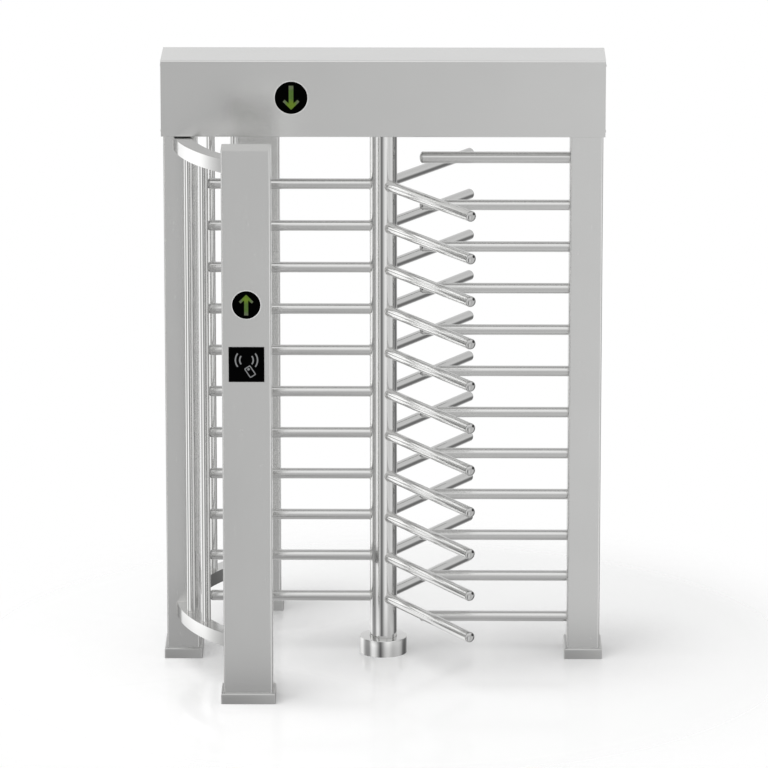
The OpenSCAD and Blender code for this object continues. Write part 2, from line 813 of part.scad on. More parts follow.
module bottom_bush() color("goldenrod")
    difference() {
        union() {
            translate([0, 0, pivot_plate_t + pass_gap]) {
                cylinder(r = bush_r + bush_flange_w, h = bush_flange_t);
                cylinder(r = bush_r, h = bush_flange_t + pivot_h);
            }
        }
        translate([0, 0, pivot_plate_t]) cylinder(r = pivot_r + run_gap, h = 2*pivot_h);
    }

module floor_pivot_plate() color("gray")
    difference() {
        cylinder(r = pivot_plate_r, h = pivot_plate_t);
        for (i = [0:pivot_anchor_count - 1]) rotate((i + 0.5)*360/pivot_anchor_count)
            translate([pivot_anchor_ring_r, 0, -overrun])
                cylinder(r = pivot_anchor_r, h = pivot_plate_t + 2*overrun);
    }

module pivot_pin() color("lightgray")
    translate([0, 0, pivot_plate_t]) cylinder(r = pivot_r, h = pivot_h);

module collar_cover() color("gainsboro")
    difference() {
        cylinder(r = collar_r, h = collar_h);
        translate([0, 0, -overrun]) cylinder(r = collar_r - collar_t, h = collar_h - collar_t + overrun);
        cylinder(r = pole_r + collar_gap, h = collar_h + overrun);
    }

// Lamps: frames at the middle of a lens, with +Z pointing out of the panel

module at_header_lamp()
    translate([-header_lamp_x, -header_d/2, header_z + header_lamp_up]) rotate([90, 0, 0]) children();

module at_post_lamp() translate([aux_x, -aux_y - aux_d/2, post_lamp_z]) rotate([90, 0, 0]) children();

module lamp_hole(r)
    translate([0, 0, -sheet_t - post_t]) cylinder(r = r + can_wall, h = 2*(sheet_t + post_t));

// A closed can through the panel with a rim in front of it
module lamp_housing(r) color("whitesmoke")
    difference() {
        union() {
            translate([0, 0, -lamp_can_d]) cylinder(r = r + can_wall, h = lamp_can_d + lamp_proud);
            cylinder(r = r + lamp_rim_w, h = lamp_proud);
        }
        translate([0, 0, lamp_proud - lens_t]) cylinder(r = r, h = lens_t + overrun);
        translate([0, 0, -lamp_can_d + can_wall]) cylinder(r = r - can_wall, h = lamp_can_d);
    }

module lens(r, turn) color("black")
    translate([0, 0, lamp_proud - lens_t]) difference() {
        cylinder(r = r - run_gap, h = lens_t);
        translate([0, 0, lens_t - arrow_depth]) arrow(r, turn, arrow_depth + overrun);
    }

module arrow(r, turn, h)
    rotate(turn) linear_extrude(h) polygon(arrow_shares*arrow_size_share*r);

module header_lamp_housings() front_and_rear() at_header_lamp() lamp_housing(header_lens_r);

module post_lamp_housings() front_and_rear() at_post_lamp() lamp_housing(post_lens_r);

module lamp_lenses()
    front_and_rear() {
        at_header_lamp() lens(header_lens_r, 180);
        at_post_lamp() lens(post_lens_r, 0);
    }

module lamp_arrows() color("limegreen")
    front_and_rear() {
        at_header_lamp() translate([0, 0, lamp_proud - arrow_depth]) arrow(header_lens_r, 180, arrow_depth);
        at_post_lamp() translate([0, 0, lamp_proud - arrow_depth]) arrow(post_lens_r, 0, arrow_depth);
    }

// Readers

module at_reader() translate([aux_x, -aux_y - aux_d/2, reader_z]) rotate([90, 0, 0]) children();

module reader_panels() color("black")
    front_and_rear() at_reader() difference() {
        linear_extrude(reader_t) square(reader_w, center = true);
        translate([0, 0, reader_t - sign_depth]) linear_extrude(sign_depth + overrun) reader_sign();
    }

module reader_symbols() color("lightgray")
    front_and_rear() at_reader() translate([0, 0, reader_t - sign_depth])
        linear_extrude(sign_depth) reader_sign();

module reader_modules() color("darkslategray")
    front_and_rear() at_reader() translate([0, 0, -module_d]) linear_extrude(module_d)
        square(module_w, center = true);

// Two waves on each side over a tilted card
module reader_sign() {
    translate(sign_centre_shares*reader_w) for (s = wave_radius_shares, side = [0, 1])
        mirror([side, 0]) wave(s*reader_w);
    translate(card_centre_shares*reader_w) rotate(card_tilt_a) {
        size = card_size_shares*reader_w;
        round_r = card_round_share*reader_w;
        line_w = card_stroke_share*reader_w;
        difference() {
            rounded_rect(size[0], size[1], round_r);
            rounded_rect(size[0] - 2*line_w, size[1] - 2*line_w, round_r/2);
        }
        translate([0, size[1]/4]) square([size[0]/3, size[1]/5], center = true);
    }
}

module wave(r) {
    line_w = wave_stroke_share*reader_w;
    intersection() {
        difference() {
            circle(r + line_w/2);
            circle(r - line_w/2);
        }
        polygon(2*r*[[0, 0], [cos(wave_half_a), sin(wave_half_a)], [cos(wave_half_a), -sin(wave_half_a)]]);
    }
}

header_shell();
header_ends();
door_hinge_pins();
header_door();
door_lock_barrel();
door_lock_cam();
mechanism_plate();
mechanism_spacers();
bearing_housing();
top_bearing_outer();
top_bearing_inner();
top_bearing_balls();
spindle();
spindle_nut();
ratchet_disc();
pawl_pivots();
pawl(false);  // front_pawl
pawl(true);  // rear_pawl
solenoid(false);  // front_solenoid
solenoid(true);  // rear_solenoid
plunger(false);  // front_plunger
plunger(true);  // rear_plunger
position_sensor();
control_board();
power_supply();
mirror([1, 0, 0]) side_post();  // left_post
side_post();  // right_post
aux_post();  // front_post
mirror([0, 1, 0]) aux_post();  // rear_post
post_caps();
side_base_plates();
aux_base_plates();
side_shoes();
aux_shoes();
band(band_top_z);  // front_top_band
mirror([0, 1, 0]) band(band_top_z);  // rear_top_band
band(band_low_z);  // front_bottom_band
mirror([0, 1, 0]) band(band_low_z);  // rear_bottom_band
barrier_tubes();  // front_barrier_tubes
mirror([0, 1, 0]) barrier_tubes();  // rear_barrier_tubes
comb_bars();
comb_caps();
pole();
arms(wing_angles[0]);  // left_arms
arms(wing_angles[1]);  // front_arms
arms(wing_angles[2]);  // rear_arms
arm_caps();
bottom_plug();
bottom_bush();
floor_pivot_plate();
pivot_pin();
collar_cover();
header_lamp_housings();
post_lamp_housings();
lamp_lenses();
lamp_arrows();
reader_panels();
reader_symbols();
reader_modules();
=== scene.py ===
import json
import math

import bpy
from mathutils import Matrix, Vector


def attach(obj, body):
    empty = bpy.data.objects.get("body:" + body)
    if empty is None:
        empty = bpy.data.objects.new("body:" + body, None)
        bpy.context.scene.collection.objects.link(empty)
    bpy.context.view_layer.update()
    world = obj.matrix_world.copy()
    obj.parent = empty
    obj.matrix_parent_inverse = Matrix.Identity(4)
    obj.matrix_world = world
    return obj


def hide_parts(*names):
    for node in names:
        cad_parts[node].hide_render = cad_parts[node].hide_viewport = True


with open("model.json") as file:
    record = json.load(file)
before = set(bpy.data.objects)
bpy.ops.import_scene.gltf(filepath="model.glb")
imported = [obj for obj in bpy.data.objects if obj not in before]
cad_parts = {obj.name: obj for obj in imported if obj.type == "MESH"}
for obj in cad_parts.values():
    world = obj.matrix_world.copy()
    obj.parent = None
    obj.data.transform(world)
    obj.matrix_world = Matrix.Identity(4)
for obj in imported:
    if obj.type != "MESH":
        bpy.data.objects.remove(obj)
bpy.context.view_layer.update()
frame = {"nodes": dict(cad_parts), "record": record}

cadNodes = frame["nodes"]
frameBody = "turnstile_frame"
origin = (0, 0, 0)
bothSides = (-1, 1)
touching = 0.0001  # points nearer than this count as level
print("frame loaded,", len(cadNodes), "nodes")


# ---- places

def shiftMatrix(x, y, z):
    return Matrix.Translation((x, y, z))


def spinMatrix(angle, axis="Z"):
    return Matrix.Rotation(math.radians(angle), 4, axis)


def outward(place, axis):  # turns +Z to an axis and moves to a place
    return shiftMatrix(*place) @ Vector(axis).to_track_quat("Z", "Y").to_matrix().to_4x4()


# ---- whole pieces

def deselectAll():
    bpy.ops.object.select_all(action="DESELECT")


def makeActive(piece):
    deselectAll()
    piece.select_set(True)
    bpy.context.view_layer.objects.active = piece


def bakePlace(piece):  # object back at the origin, its place in its mesh
    makeActive(piece)
    bpy.ops.object.transform_apply(location=True, rotation=True, scale=True)


def applyModifiers(piece):
    makeActive(piece)
    for modifier in list(piece.modifiers):
        bpy.ops.object.modifier_apply(modifier=modifier.name)


def copyPiece(piece, place):  # a copy with its own mesh, placed by a matrix
    twin = piece.copy()
    twin.data = piece.data.copy()
    bpy.context.scene.collection.objects.link(twin)
    twin.data.transform(place)
    return twin


def joinPieces(pieces):
    deselectAll()
    for piece in pieces:
        piece.select_set(True)
    bpy.context.view_layer.objects.active = pieces[0]
    if len(pieces) > 1:
        bpy.ops.object.join()
    return bpy.context.view_layer.objects.active


def copyAll(piece, places):  # one joined object of copies at several matrices, the first piece removed
    twins = [copyPiece(piece, place) for place in places]
    bpy.data.objects.remove(piece)
    return joinPieces(twins)


def finishPiece(piece, name, body, slot, smoothAngle, look=None):  # without a look it gets its slot's
    bakePlace(piece)
    piece.name = piece.data.name = name
    piece.data.materials.clear()
    piece.data.materials.append(looks[look or slot])
    bpy.ops.object.shade_smooth_by_angle(angle=math.radians(smoothAngle))
    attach(piece, body)
    return piece


# ---- edit mode

def startEdit():
    bpy.ops.object.mode_set(mode="EDIT")


def endEdit():
    bpy.ops.object.mode_set(mode="OBJECT")


def selectEverything():
    bpy.ops.mesh.select_all(action="SELECT")


def pickAll(piece):
    makeActive(piece)
    startEdit()
    selectEverything()


def clearPicks(piece, kind):  # nothing selected, and back in object mode, where the marks can be set
    makeActive(piece)
    startEdit()
    bpy.ops.mesh.select_mode(type=kind)
    bpy.ops.mesh.select_all(action="DESELECT")
    endEdit()


def pickFaces(piece, test):  # leaves the piece in edit mode with the faces that pass selected
    clearPicks(piece, "FACE")
    for face in piece.data.polygons:
        face.select = test(face)
    startEdit()


def pickEdges(piece, test):  # test gets the two ends of an edge
    clearPicks(piece, "EDGE")
    points = piece.data.vertices
    for edge in piece.data.edges:
        edge.select = test(*[points[end].co for end in edge.vertices])
    startEdit()


def roundEdges(piece, offset, segments, test=None):  # all edges, or those that pass
    if test:
        pickEdges(piece, test)
    else:
        pickAll(piece)
    bpy.ops.mesh.bevel(offset=offset, segments=segments, affect="EDGES")
    endEdit()


def extrudeUp(height):
    bpy.ops.mesh.extrude_region_move(TRANSFORM_OT_translate={"value": (0, 0, height)})


def stepIn(share):  # extrudes on the same level, towards the middle
    bpy.ops.mesh.extrude_region_move()
    bpy.ops.transform.resize(value=(share, share, 1))


def faceOutward():  # ends the edit with all normals outward
    selectEverything()
    bpy.ops.mesh.normals_make_consistent(inside=False)
    endEdit()


def sinkTop(piece, smallest, rim, depth):  # presses in the upward faces larger than an area, inside a rim
    pickFaces(piece, lambda face: face.normal.z > 0.9 and face.area > smallest)
    bpy.ops.mesh.inset(thickness=rim)
    extrudeUp(-depth)
    endEdit()


def wireToTube(radius):  # the edges of the active mesh as round wire
    bpy.ops.object.convert(target="CURVE")
    wire = bpy.context.object.data
    wire.bevel_depth, wire.bevel_resolution = radius, 2
    bpy.ops.object.convert(target="MESH")
    return bpy.context.object


# ---- simple bodies

def addBlock(size, bevel=0.0, segments=2, place=origin):  # a rounded block standing on its place
    bpy.ops.mesh.primitive_cube_add(size=1, location=(0, 0, size[2]/2))
    block = bpy.context.object
    block.scale = size
    bakePlace(block)
    if bevel:
        roundEdges(block, bevel, segments)
    block.data.transform(shiftMatrix(*place))
    return block


def addCylinder(corners, radius, height, middle):
    bpy.ops.mesh.primitive_cylinder_add(vertices=corners, radius=radius, depth=height, location=middle)
    return bpy.context.object


def addStud(corners, radius, height, bevel, segments):  # a cylinder on z = 0 with its top edge rounded
    stud = addCylinder(corners, radius, height, (0, 0, height/2))
    bakePlace(stud)
    roundEdges(stud, bevel, segments, lambda a, b: min(a.z, b.z) > height - touching)
    return stud


def addRoundedPlane(width, depth, radius, segments=5):
    bpy.ops.mesh.primitive_plane_add(size=1, location=origin)
    plane = bpy.context.object
    plane.scale = (width, depth, 1)
    bakePlace(plane)
    pickAll(plane)
    bpy.ops.mesh.bevel(offset=radius, segments=segments, affect="VERTICES")
    endEdit()
    return plane


def cutAway(piece, cutter):
    cut = piece.modifiers.new("cut", "BOOLEAN")
    cut.operation, cut.object, cut.solver = "DIFFERENCE", cutter, "EXACT"
    applyModifiers(piece)
    bpy.data.objects.remove(cutter)


def addToScene(name, data, place):
    thing = bpy.data.objects.new(name, data)
    bpy.context.scene.collection.objects.link(thing)
    thing.location = place
    return thing


# ---- camera

cameraValues = {
    "place": (0.1827, -22.6351, 6.6850),
    "pitchDown": 13.9977,
    "turnLeft": 0.4566,
    "focalInPixels": 6226.47,
    "frameInPixels": 768,
    "sensorWidth": 36,
    "clipEnd": 200,
}


def makeCamera(values):
    data = bpy.data.cameras.new("viewCamera")
    data.sensor_width = values["sensorWidth"]
    data.lens = values["sensorWidth"]*values["focalInPixels"]/values["frameInPixels"]
    data.clip_end = values["clipEnd"]
    camera = addToScene("viewCamera", data, values["place"])
    camera.rotation_euler = (math.radians(90 - values["pitchDown"]), 0, math.radians(values["turnLeft"]))
    bpy.context.scene.camera = camera


makeCamera(cameraValues)
print("camera set")


# ---- shader nodes

def setInputs(tree, node, values):  # a value that is a socket is linked, any other is set
    for key, value in values.items():
        socket = node.inputs[key]
        if isinstance(value, bpy.types.NodeSocket):
            tree.links.new(value, socket)
        else:
            socket.default_value = (*value, 1) if socket.type == "RGBA" else value


def newNode(tree, kind, values=None, **settings):
    node = tree.nodes.new("ShaderNode" + kind)
    for key, value in settings.items():
        setattr(node, key, value)
    setInputs(tree, node, values or {})
    return node


def mathNode(tree, operation, *values, clamp=False):
    return newNode(tree, "Math", dict(enumerate(values)), operation=operation, use_clamp=clamp).outputs[0]


def multiply(tree, value, *others):
    for other in others:
        value = mathNode(tree, "MULTIPLY", value, other)
    return value


def vectorNode(tree, operation, *values, output="Value"):
    return newNode(tree, "VectorMath", dict(enumerate(values)), operation=operation).outputs[output]


def mapRange(tree, value, fromLow, fromHigh, toLow=0, toHigh=1, smooth=False):
    ends = {"From Min": fromLow, "From Max": fromHigh, "To Min": toLow, "To Max": toHigh}
    kind = "SMOOTHSTEP" if smooth else "LINEAR"
    return newNode(tree, "MapRange", {"Value": value, **ends}, interpolation_type=kind).outputs["Result"]


def varyAround(tree, noise, level, spread):  # noise stays mostly between 0.3 and 0.7
    return mapRange(tree, noise, 0.3, 0.7, level - spread, level + spread)


def rampNode(tree, value, stops, reach, low, high):  # stops in degrees, up to reach each way
    node = newNode(tree, "ValToRGB", {"Fac": value})
    elements = node.color_ramp.elements
    while len(elements) < len(stops):
        elements.new(0.5)
    for element, (angle, level) in zip(elements, stops):
        element.position = (angle + reach)/(2*reach)
        share = (level - low)/(high - low)
        element.color = (share, share, share, 1)
    return node.outputs["Color"]


def mixColor(tree, factor, first, second):
    return newNode(tree, "Mix", {0: factor, 6: first, 7: second}, data_type="RGBA").outputs[2]


def mixShader(tree, factor, first, second):
    return newNode(tree, "MixShader", {0: factor, 1: first, 2: second}).outputs[0]


def objectPlace(tree):
    return newNode(tree, "TexCoord").outputs["Object"]


def splitAxes(tree, vector):
    return list(newNode(tree, "SeparateXYZ", {0: vector}).outputs)


def joinAxes(tree, *values):
    return newNode(tree, "CombineXYZ", dict(enumerate(values))).outputs[0]


def noiseNode(tree, vector, **values):
    return newNode(tree, "TexNoise", {"Vector": vector, **values}).outputs["Fac"]


def cellNode(tree, vector, scale, **settings):
    return newNode(tree, "TexVoronoi", {"Vector": vector, "Scale": scale}, **settings).outputs["Distance"]


# ---- studio: world, floor and lamp

studioValues = {
    # Brightness round the horizon in mirrors, by degrees from the camera's side, + to the right. These steps
    # and the next three lists were set to bring pole, arms and bars near to the photo.
    "roundBands": (
        (-180, 0.90), (-160, 1.05), (-145, 1.30), (-128, 1.60), (-117, 1.50), (-108, 0.96), (-98, 0.60),
        (-88, 0.46), (-72, 0.48), (-64, 0.95), (-56, 1.42), (-44, 1.42), (-36, 1.12), (-27, 0.68),
        (-19, 0.31), (-14, 0.15), (-9, 0.28), (0, 0.61), (9, 0.94), (18, 1.10), (28, 1.12), (37, 0.93),
        (48, 0.80), (62, 0.88), (76, 0.95), (87, 0.88), (98, 0.70), (110, 0.25), (130, 0.17), (146, 0.34),
        (160, 0.70), (180, 0.90)),
    # degrees by which the bands reach up before the next two take over
    "bandLift": (
        (-180, 0), (-165, 2), (-150, 20), (-138, 36), (-60, 32), (-35, 12), (-14, 0), (14, 0), (40, 8),
        (80, 4), (100, -4), (145, -4), (165, 0), (180, 0)),
    "liftRange": (-10, 40),
    # brightness from straight down to straight up, in degrees
    "frontRise": (
        (-90, 0.64), (-59, 0.84), (-36, 0.64), (-12, 0.54), (8, 0.70), (31, 1.02), (52, 1.18), (68, 1.0),
        (78, 0.74), (90, 0.58)),
    "backRise": (
        (-90, 0.64), (-48, 0.80), (-14, 0.85), (0, 0.82), (14, 0.79), (38, 0.70), (60, 0.60), (90, 0.58)),
    "sideBlend": 0.25,
    "upFade": (-10, 14),
    "lowFade": (-84, -42),
    "softLevel": 0.72,
    "keyLevel": 330,
    "keyPlace": (-3.2, -2.2, 6.5),
    "keyAim": (0, 0, 0.6),
    "keySize": 7.0,
    "floorSize": 30,
    "floorLook": {"Base Color": (0.94, 0.94, 0.94), "Roughness": 0.09, "Specular IOR Level": 0.3},
    "floorFade": (0.8, 2.0),
    "footFade": (0.05, 0.7, 0.0, 0.56),
    "feet": ((-0.753, 0, 0), (0.753, 0, 0), (-0.4915, -0.622, 0), (-0.4915, 0.622, 0), (0, 0, 0)),
    # painted shadow in mirrors round the feet: from and to distance, then the dimmed and the full level
    "footShade": (0.06, 0.8, 0.68, 1.0),
}


def makeWorld(values):
    world = bpy.data.worlds.new("studioWorld")
    bpy.context.scene.world = world
    world.use_nodes = True
    tree = world.node_tree
    tree.nodes.clear()
    x, y, z = splitAxes(tree, newNode(tree, "TexCoord").outputs["Generated"])
    toFront = multiply(tree, y, -1)
    round01 = mapRange(tree, mathNode(tree, "ARCTAN2", x, toFront), -math.pi, math.pi)
    rise = mathNode(tree, "ARCSINE", z)
    rise01 = mapRange(tree, rise, -math.pi/2, math.pi/2)
    peak = max(level for _, level in values["roundBands"])
    bands = rampNode(tree, round01, values["roundBands"], 180, 0, peak)
    front = rampNode(tree, rise01, values["frontRise"], 90, 0, peak)
    back = rampNode(tree, rise01, values["backRise"], 90, 0, peak)
    backShare = mapRange(tree, toFront, -values["sideBlend"], values["sideBlend"], 1, 0, smooth=True)
    tall = mixColor(tree, backShare, front, back)
    lift = rampNode(tree, round01, values["bandLift"], 180, *values["liftRange"])
    lift = mapRange(tree, lift, 0, 1, *map(math.radians, values["liftRange"]))
    upShare = mapRange(tree, mathNode(tree, "SUBTRACT", rise, lift), *map(math.radians, values["upFade"]),
                       smooth=True)
    lowShare = mapRange(tree, rise, *map(math.radians, values["lowFade"]), 1, 0, smooth=True)
    mirror = mixColor(tree, mathNode(tree, "MAXIMUM", upShare, lowShare), bands, tall)
    levels = (((1, 1, 1), values["softLevel"]), (mirror, peak), ((1, 1, 1), 1))
    soft, shiny, white = [newNode(tree, "Background", {"Color": color, "Strength": level}).outputs[0]
                          for color, level in levels]
    path = newNode(tree, "LightPath").outputs
    seenInGloss = mathNode(tree, "MAXIMUM", path["Is Glossy Ray"], path["Is Transmission Ray"])
    light = mixShader(tree, path["Is Camera Ray"], mixShader(tree, seenInGloss, soft, shiny), white)
    newNode(tree, "OutputWorld", {"Surface": light})


def makeFloor(values):
    bpy.ops.mesh.primitive_plane_add(size=values["floorSize"], location=origin)
    floor = bpy.context.object
    floor.name = "studioFloor"
    material = bpy.data.materials.new("studioFloor")
    material.use_nodes = True
    tree = material.node_tree
    tree.nodes.clear()
    place = objectPlace(tree)
    toMiddle = vectorNode(tree, "LENGTH", place)
    toFeet = [vectorNode(tree, "DISTANCE", place, foot) for foot in values["feet"]]
    nearest = toFeet[0]  # painted shadow: mirrors see the backdrop through the floor, dimmed round the feet where their shadows would be
    for toFoot in toFeet[1:]:
        nearest = mathNode(tree, "MINIMUM", nearest, toFoot)
    fade = mathNode(tree, "MAXIMUM", mapRange(tree, toMiddle, *values["floorFade"], smooth=True),
                    mapRange(tree, nearest, *values["footFade"], smooth=True))
    seenInGloss = newNode(tree, "LightPath").outputs["Is Glossy Ray"]
    tint = mixColor(tree, seenInGloss, (1, 1, 1), mapRange(tree, nearest, *values["footShade"], smooth=True))
    surface = newNode(tree, "BsdfPrincipled", values["floorLook"]).outputs[0]
    clear = newNode(tree, "BsdfTransparent", {"Color": tint}).outputs[0]
    mixed = mixShader(tree, mathNode(tree, "MAXIMUM", fade, seenInGloss), surface, clear)
    newNode(tree, "OutputMaterial", {"Surface": mixed})
    floor.data.materials.append(material)


def makeKeyLamp(values):
    data = bpy.data.lights.new("keyLamp", "AREA")
    data.shape, data.size, data.energy = "DISK", values["keySize"], values["keyLevel"]
    lamp = addToScene("keyLamp", data, values["keyPlace"])
    lamp.rotation_euler = (Vector(values["keyAim"]) - lamp.location).to_track_quat("-Z", "Y").to_euler()
    lamp.visible_camera = lamp.visible_glossy = False


makeWorld(studioValues)
makeFloor(studioValues)
makeKeyLamp(studioValues)
bpy.context.scene.view_settings.view_transform = "Standard"
print("studio set")


# ---- shared shader groups

def newGroup(name, inputs, outputs):
    group = bpy.data.node_groups.new(name, "ShaderNodeTree")
    for label, default in inputs.items():
        kind = "NodeSocketVector" if isinstance(default, tuple) else "NodeSocketFloat"
        group.interface.new_socket(name=label, in_out="INPUT", socket_type=kind).default_value = default
    for label in outputs:
        group.interface.new_socket(name=label, in_out="OUTPUT", socket_type="NodeSocketFloat")
    return group, group.nodes.new("NodeGroupInput").outputs, group.nodes.new("NodeGroupOutput")


def makeGrainGroup():  # fine brush lines, long where Stretch is small, straight or round the Z axis
    group, given, result = newGroup("brushGrain", {"Stretch": (400, 400, 4), "Around": 0}, ("Grain", "Cloud"))
    place = objectPlace(group)
    x, y, z = splitAxes(group, place)
    radius = vectorNode(group, "LENGTH", joinAxes(group, x, y))
    polar = joinAxes(group, radius, mathNode(group, "ARCTAN2", y, x), z)
    chosen = newNode(group, "Mix", {0: given["Around"], 4: place, 5: polar}, data_type="VECTOR").outputs[1]
    stretched = vectorNode(group, "MULTIPLY", chosen, given["Stretch"], output="Vector")
    setInputs(group, result, {
        "Grain": noiseNode(group, stretched, Scale=1, Detail=3, Roughness=0.6),
        "Cloud": noiseNode(group, place, Scale=3.1, Detail=2)})
    return group


def makeScuffGroup():  # faint handling marks, and dust near the floor
    group, given, result = newGroup("scuffs", {"Amount": 0.5, "Size": 60}, ("Scuff", "Dust"))
    place = objectPlace(group)
    spots = noiseNode(group, place, Scale=given["Size"], Detail=6, Roughness=0.7)
    sharp = mapRange(group, spots, 0.55, 0.75)
    low = mapRange(group, splitAxes(group, place)[2], 0, 0.35, 1, 0, smooth=True)
    setInputs(group, result, {
        "Scuff": multiply(group, sharp, given["Amount"]),
        "Dust": multiply(group, low, given["Amount"])})
    return group


brushGrain = makeGrainGroup()
scuffs = makeScuffGroup()


def groupNode(tree, group, values):
    return newNode(tree, "Group", values, node_tree=group).outputs


# ---- materials

def startMaterial(name, values):
    material = bpy.data.materials.new(name)
    material.use_nodes = True
    tree = material.node_tree
    shader = tree.nodes["Principled BSDF"]
    setInputs(tree, shader, values)
    return material, tree, shader


def bumpNode(tree, height, distance):
    return newNode(tree, "Bump", {"Height": height, "Distance": distance, "Strength": 1}).outputs["Normal"]


def worn(tree, rough, marks, amount):  # a little rougher where it is scuffed
    return mathNode(tree, "ADD", rough, multiply(tree, marks["Scuff"], amount), clamp=True)


def steelMaterial(name, values):
    material, tree, shader = startMaterial(name, {"Metallic": 1})
    grain = groupNode(tree, brushGrain, {"Stretch": values["stretch"], "Around": values["around"]})
    marks = groupNode(tree, scuffs, {"Amount": values["scuff"]})
    shade = multiply(tree, varyAround(tree, grain["Grain"], values["level"], values["spread"]),
                     varyAround(tree, grain["Cloud"], 1, values["cloudSpread"]),
                     mapRange(tree, marks["Dust"], 0, 1, 1, values["dusty"]))
    if "leftShade" in values:  # painted shade that balances this studio's light: base colour darker on faces turned to -X and on rounded corners
        facing = splitAxes(tree, newNode(tree, "TexCoord").outputs["Normal"])[0]
        squared = mathNode(tree, "POWER", mathNode(tree, "ABSOLUTE", facing), 2)
        corner = multiply(tree, squared, mathNode(tree, "SUBTRACT", 1, squared))
        shade = multiply(tree, shade, mapRange(tree, facing, -0.95, -0.4, values["leftShade"], 1),
                         mapRange(tree, corner, 0, 0.25, 1, values["cornerShade"]))
    channels = {index: multiply(tree, shade, share) for index, share in enumerate(values["tint"])}
    rough = varyAround(tree, grain["Grain"], values["rough"], values["roughSpread"])
    setInputs(tree, shader, {
        "Base Color": newNode(tree, "CombineColor", channels).outputs[0],
        "Roughness": worn(tree, rough, marks, 0.08),
        "Normal": bumpNode(tree, grain["Grain"], values["grainDepth"])})
    return material


steelCommon = {"around": 0, "tint": (1, 1, 0.99), "spread": 0.01, "cloudSpread": 0.015, "dusty": 0.96,
               "scuff": 0.3, "roughSpread": 0.02, "grainDepth": 1e-6}
# leftShade and cornerShade are painted shade, set to balance this studio's light
sheetSteel = {"level": 0.79, "spread": 0.008, "grainDepth": 1.5e-6, "leftShade": 0.74, "cornerShade": 0.72}
steelLooks = {
    "header_steel": {**sheetSteel, "stretch": (8, 1300, 1300), "rough": 0.22},
    "post_steel": {**sheetSteel, "stretch": (1300, 1300, 8), "rough": 0.25},
    "shoe_steel": {"stretch": (500, 500, 500), "level": 0.59, "rough": 0.42, "roughSpread": 0.04,
        "grainDepth": 2e-6},
    "band_steel": {"stretch": (900, 2, 900), "around": 1, "level": 0.67, "rough": 0.13, "roughSpread": 0.03,
        "grainDepth": 4e-6},
    "tube_steel": {"stretch": (120, 120, 120), "level": 0.68, "rough": 0.11},
    "weld_steel": {"stretch": (160, 160, 160), "level": 0.66, "spread": 0.03, "tint": (1, 0.99, 0.97),
        "rough": 0.15, "roughSpread": 0.05, "grainDepth": 5e-6},
    "cap_steel": {"stretch": (200, 200, 200), "level": 0.50, "rough": 0.08},
    "pole_steel": {"stretch": (60, 60, 2), "level": 0.68, "rough": 0.08},
    "collar_steel": {"stretch": (300, 1, 900), "around": 1, "level": 0.74, "spread": 0.012, "rough": 0.08,
        "grainDepth": 2e-6},
    "galvanised_plate": {"stretch": (60, 60, 60), "level": 0.42, "spread": 0.08, "rough": 0.45,
        "roughSpread": 0.1, "grainDepth": 3e-5},
    "machined_steel": {"stretch": (800, 3, 800), "around": 1, "level": 0.5, "spread": 0.03, "rough": 0.3,
        "roughSpread": 0.06, "grainDepth": 1e-5},
    "bearing_steel": {"stretch": (900, 2, 900), "around": 1, "level": 0.75, "spread": 0.02, "rough": 0.12,
        "roughSpread": 0.03, "grainDepth": 3e-6},
    "bronze_bush": {"stretch": (700, 3, 700), "around": 1, "level": 0.66, "spread": 0.03,
        "tint": (1, 0.74, 0.36), "rough": 0.3, "roughSpread": 0.06, "grainDepth": 1e-5},
    "lock_metal": {"stretch": (300, 300, 300), "level": 0.7, "spread": 0.02, "rough": 0.16,
        "roughSpread": 0.03, "grainDepth": 3e-6},
    "lamp_rim": {"stretch": (500, 500, 500), "level": 0.86, "rough": 0.2, "roughSpread": 0.04,
        "grainDepth": 2e-6},
}
looks = {name: steelMaterial(name, {**steelCommon, **values}) for name, values in steelLooks.items()}


def paintMaterial(name, color, rough, metallic=0, speckle=0.06, bumpDepth=2e-5, grainScale=700, specular=0.5):
    material, tree, shader = startMaterial(name, {"Metallic": metallic, "Specular IOR Level": specular})
    fine = noiseNode(tree, objectPlace(tree), Scale=grainScale, Detail=2)
    marks = groupNode(tree, scuffs, {"Amount": 0.4})
    dark, light = [tuple(channel*share for channel in color) for share in (1 - speckle, 1 + speckle)]
    setInputs(tree, shader, {
        "Base Color": mixColor(tree, fine, dark, light),
        "Roughness": worn(tree, varyAround(tree, fine, rough, 0.03), marks, 0.06),
        "Normal": bumpNode(tree, fine, bumpDepth)})
    return material


paintLooks = {
    "solenoid_blue": dict(color=(0.05, 0.10, 0.30), rough=0.35),
    "sensor_black": dict(color=(0.03, 0.03, 0.033), rough=0.5),
    "supply_metal": dict(color=(0.52, 0.53, 0.54), rough=0.38, metallic=0.7),
    "lens_black": dict(color=(5e-4, 6e-4, 5e-4), rough=0.10, bumpDepth=5e-7, grainScale=40, specular=0.01),
    "reader_black": dict(color=(8e-4, 8e-4, 9e-4), rough=0.12, bumpDepth=5e-7, grainScale=40, specular=0.012),
    "symbol_grey": dict(color=(0.24, 0.245, 0.25), rough=0.35, bumpDepth=2e-6, specular=0.2),
    "rubber_black": dict(color=(0.02, 0.02, 0.02), rough=0.7),
    "terminal_green": dict(color=(0.02, 0.22, 0.07), rough=0.38),
    "relay_black": dict(color=(0.018, 0.018, 0.02), rough=0.22, bumpDepth=5e-6),
    "chip_black": dict(color=(0.03, 0.03, 0.032), rough=0.45),
    "duct_grey": dict(color=(0.36, 0.37, 0.38), rough=0.45, bumpDepth=1e-5),
}
looks.update({name: paintMaterial(name, **values) for name, values in paintLooks.items()})


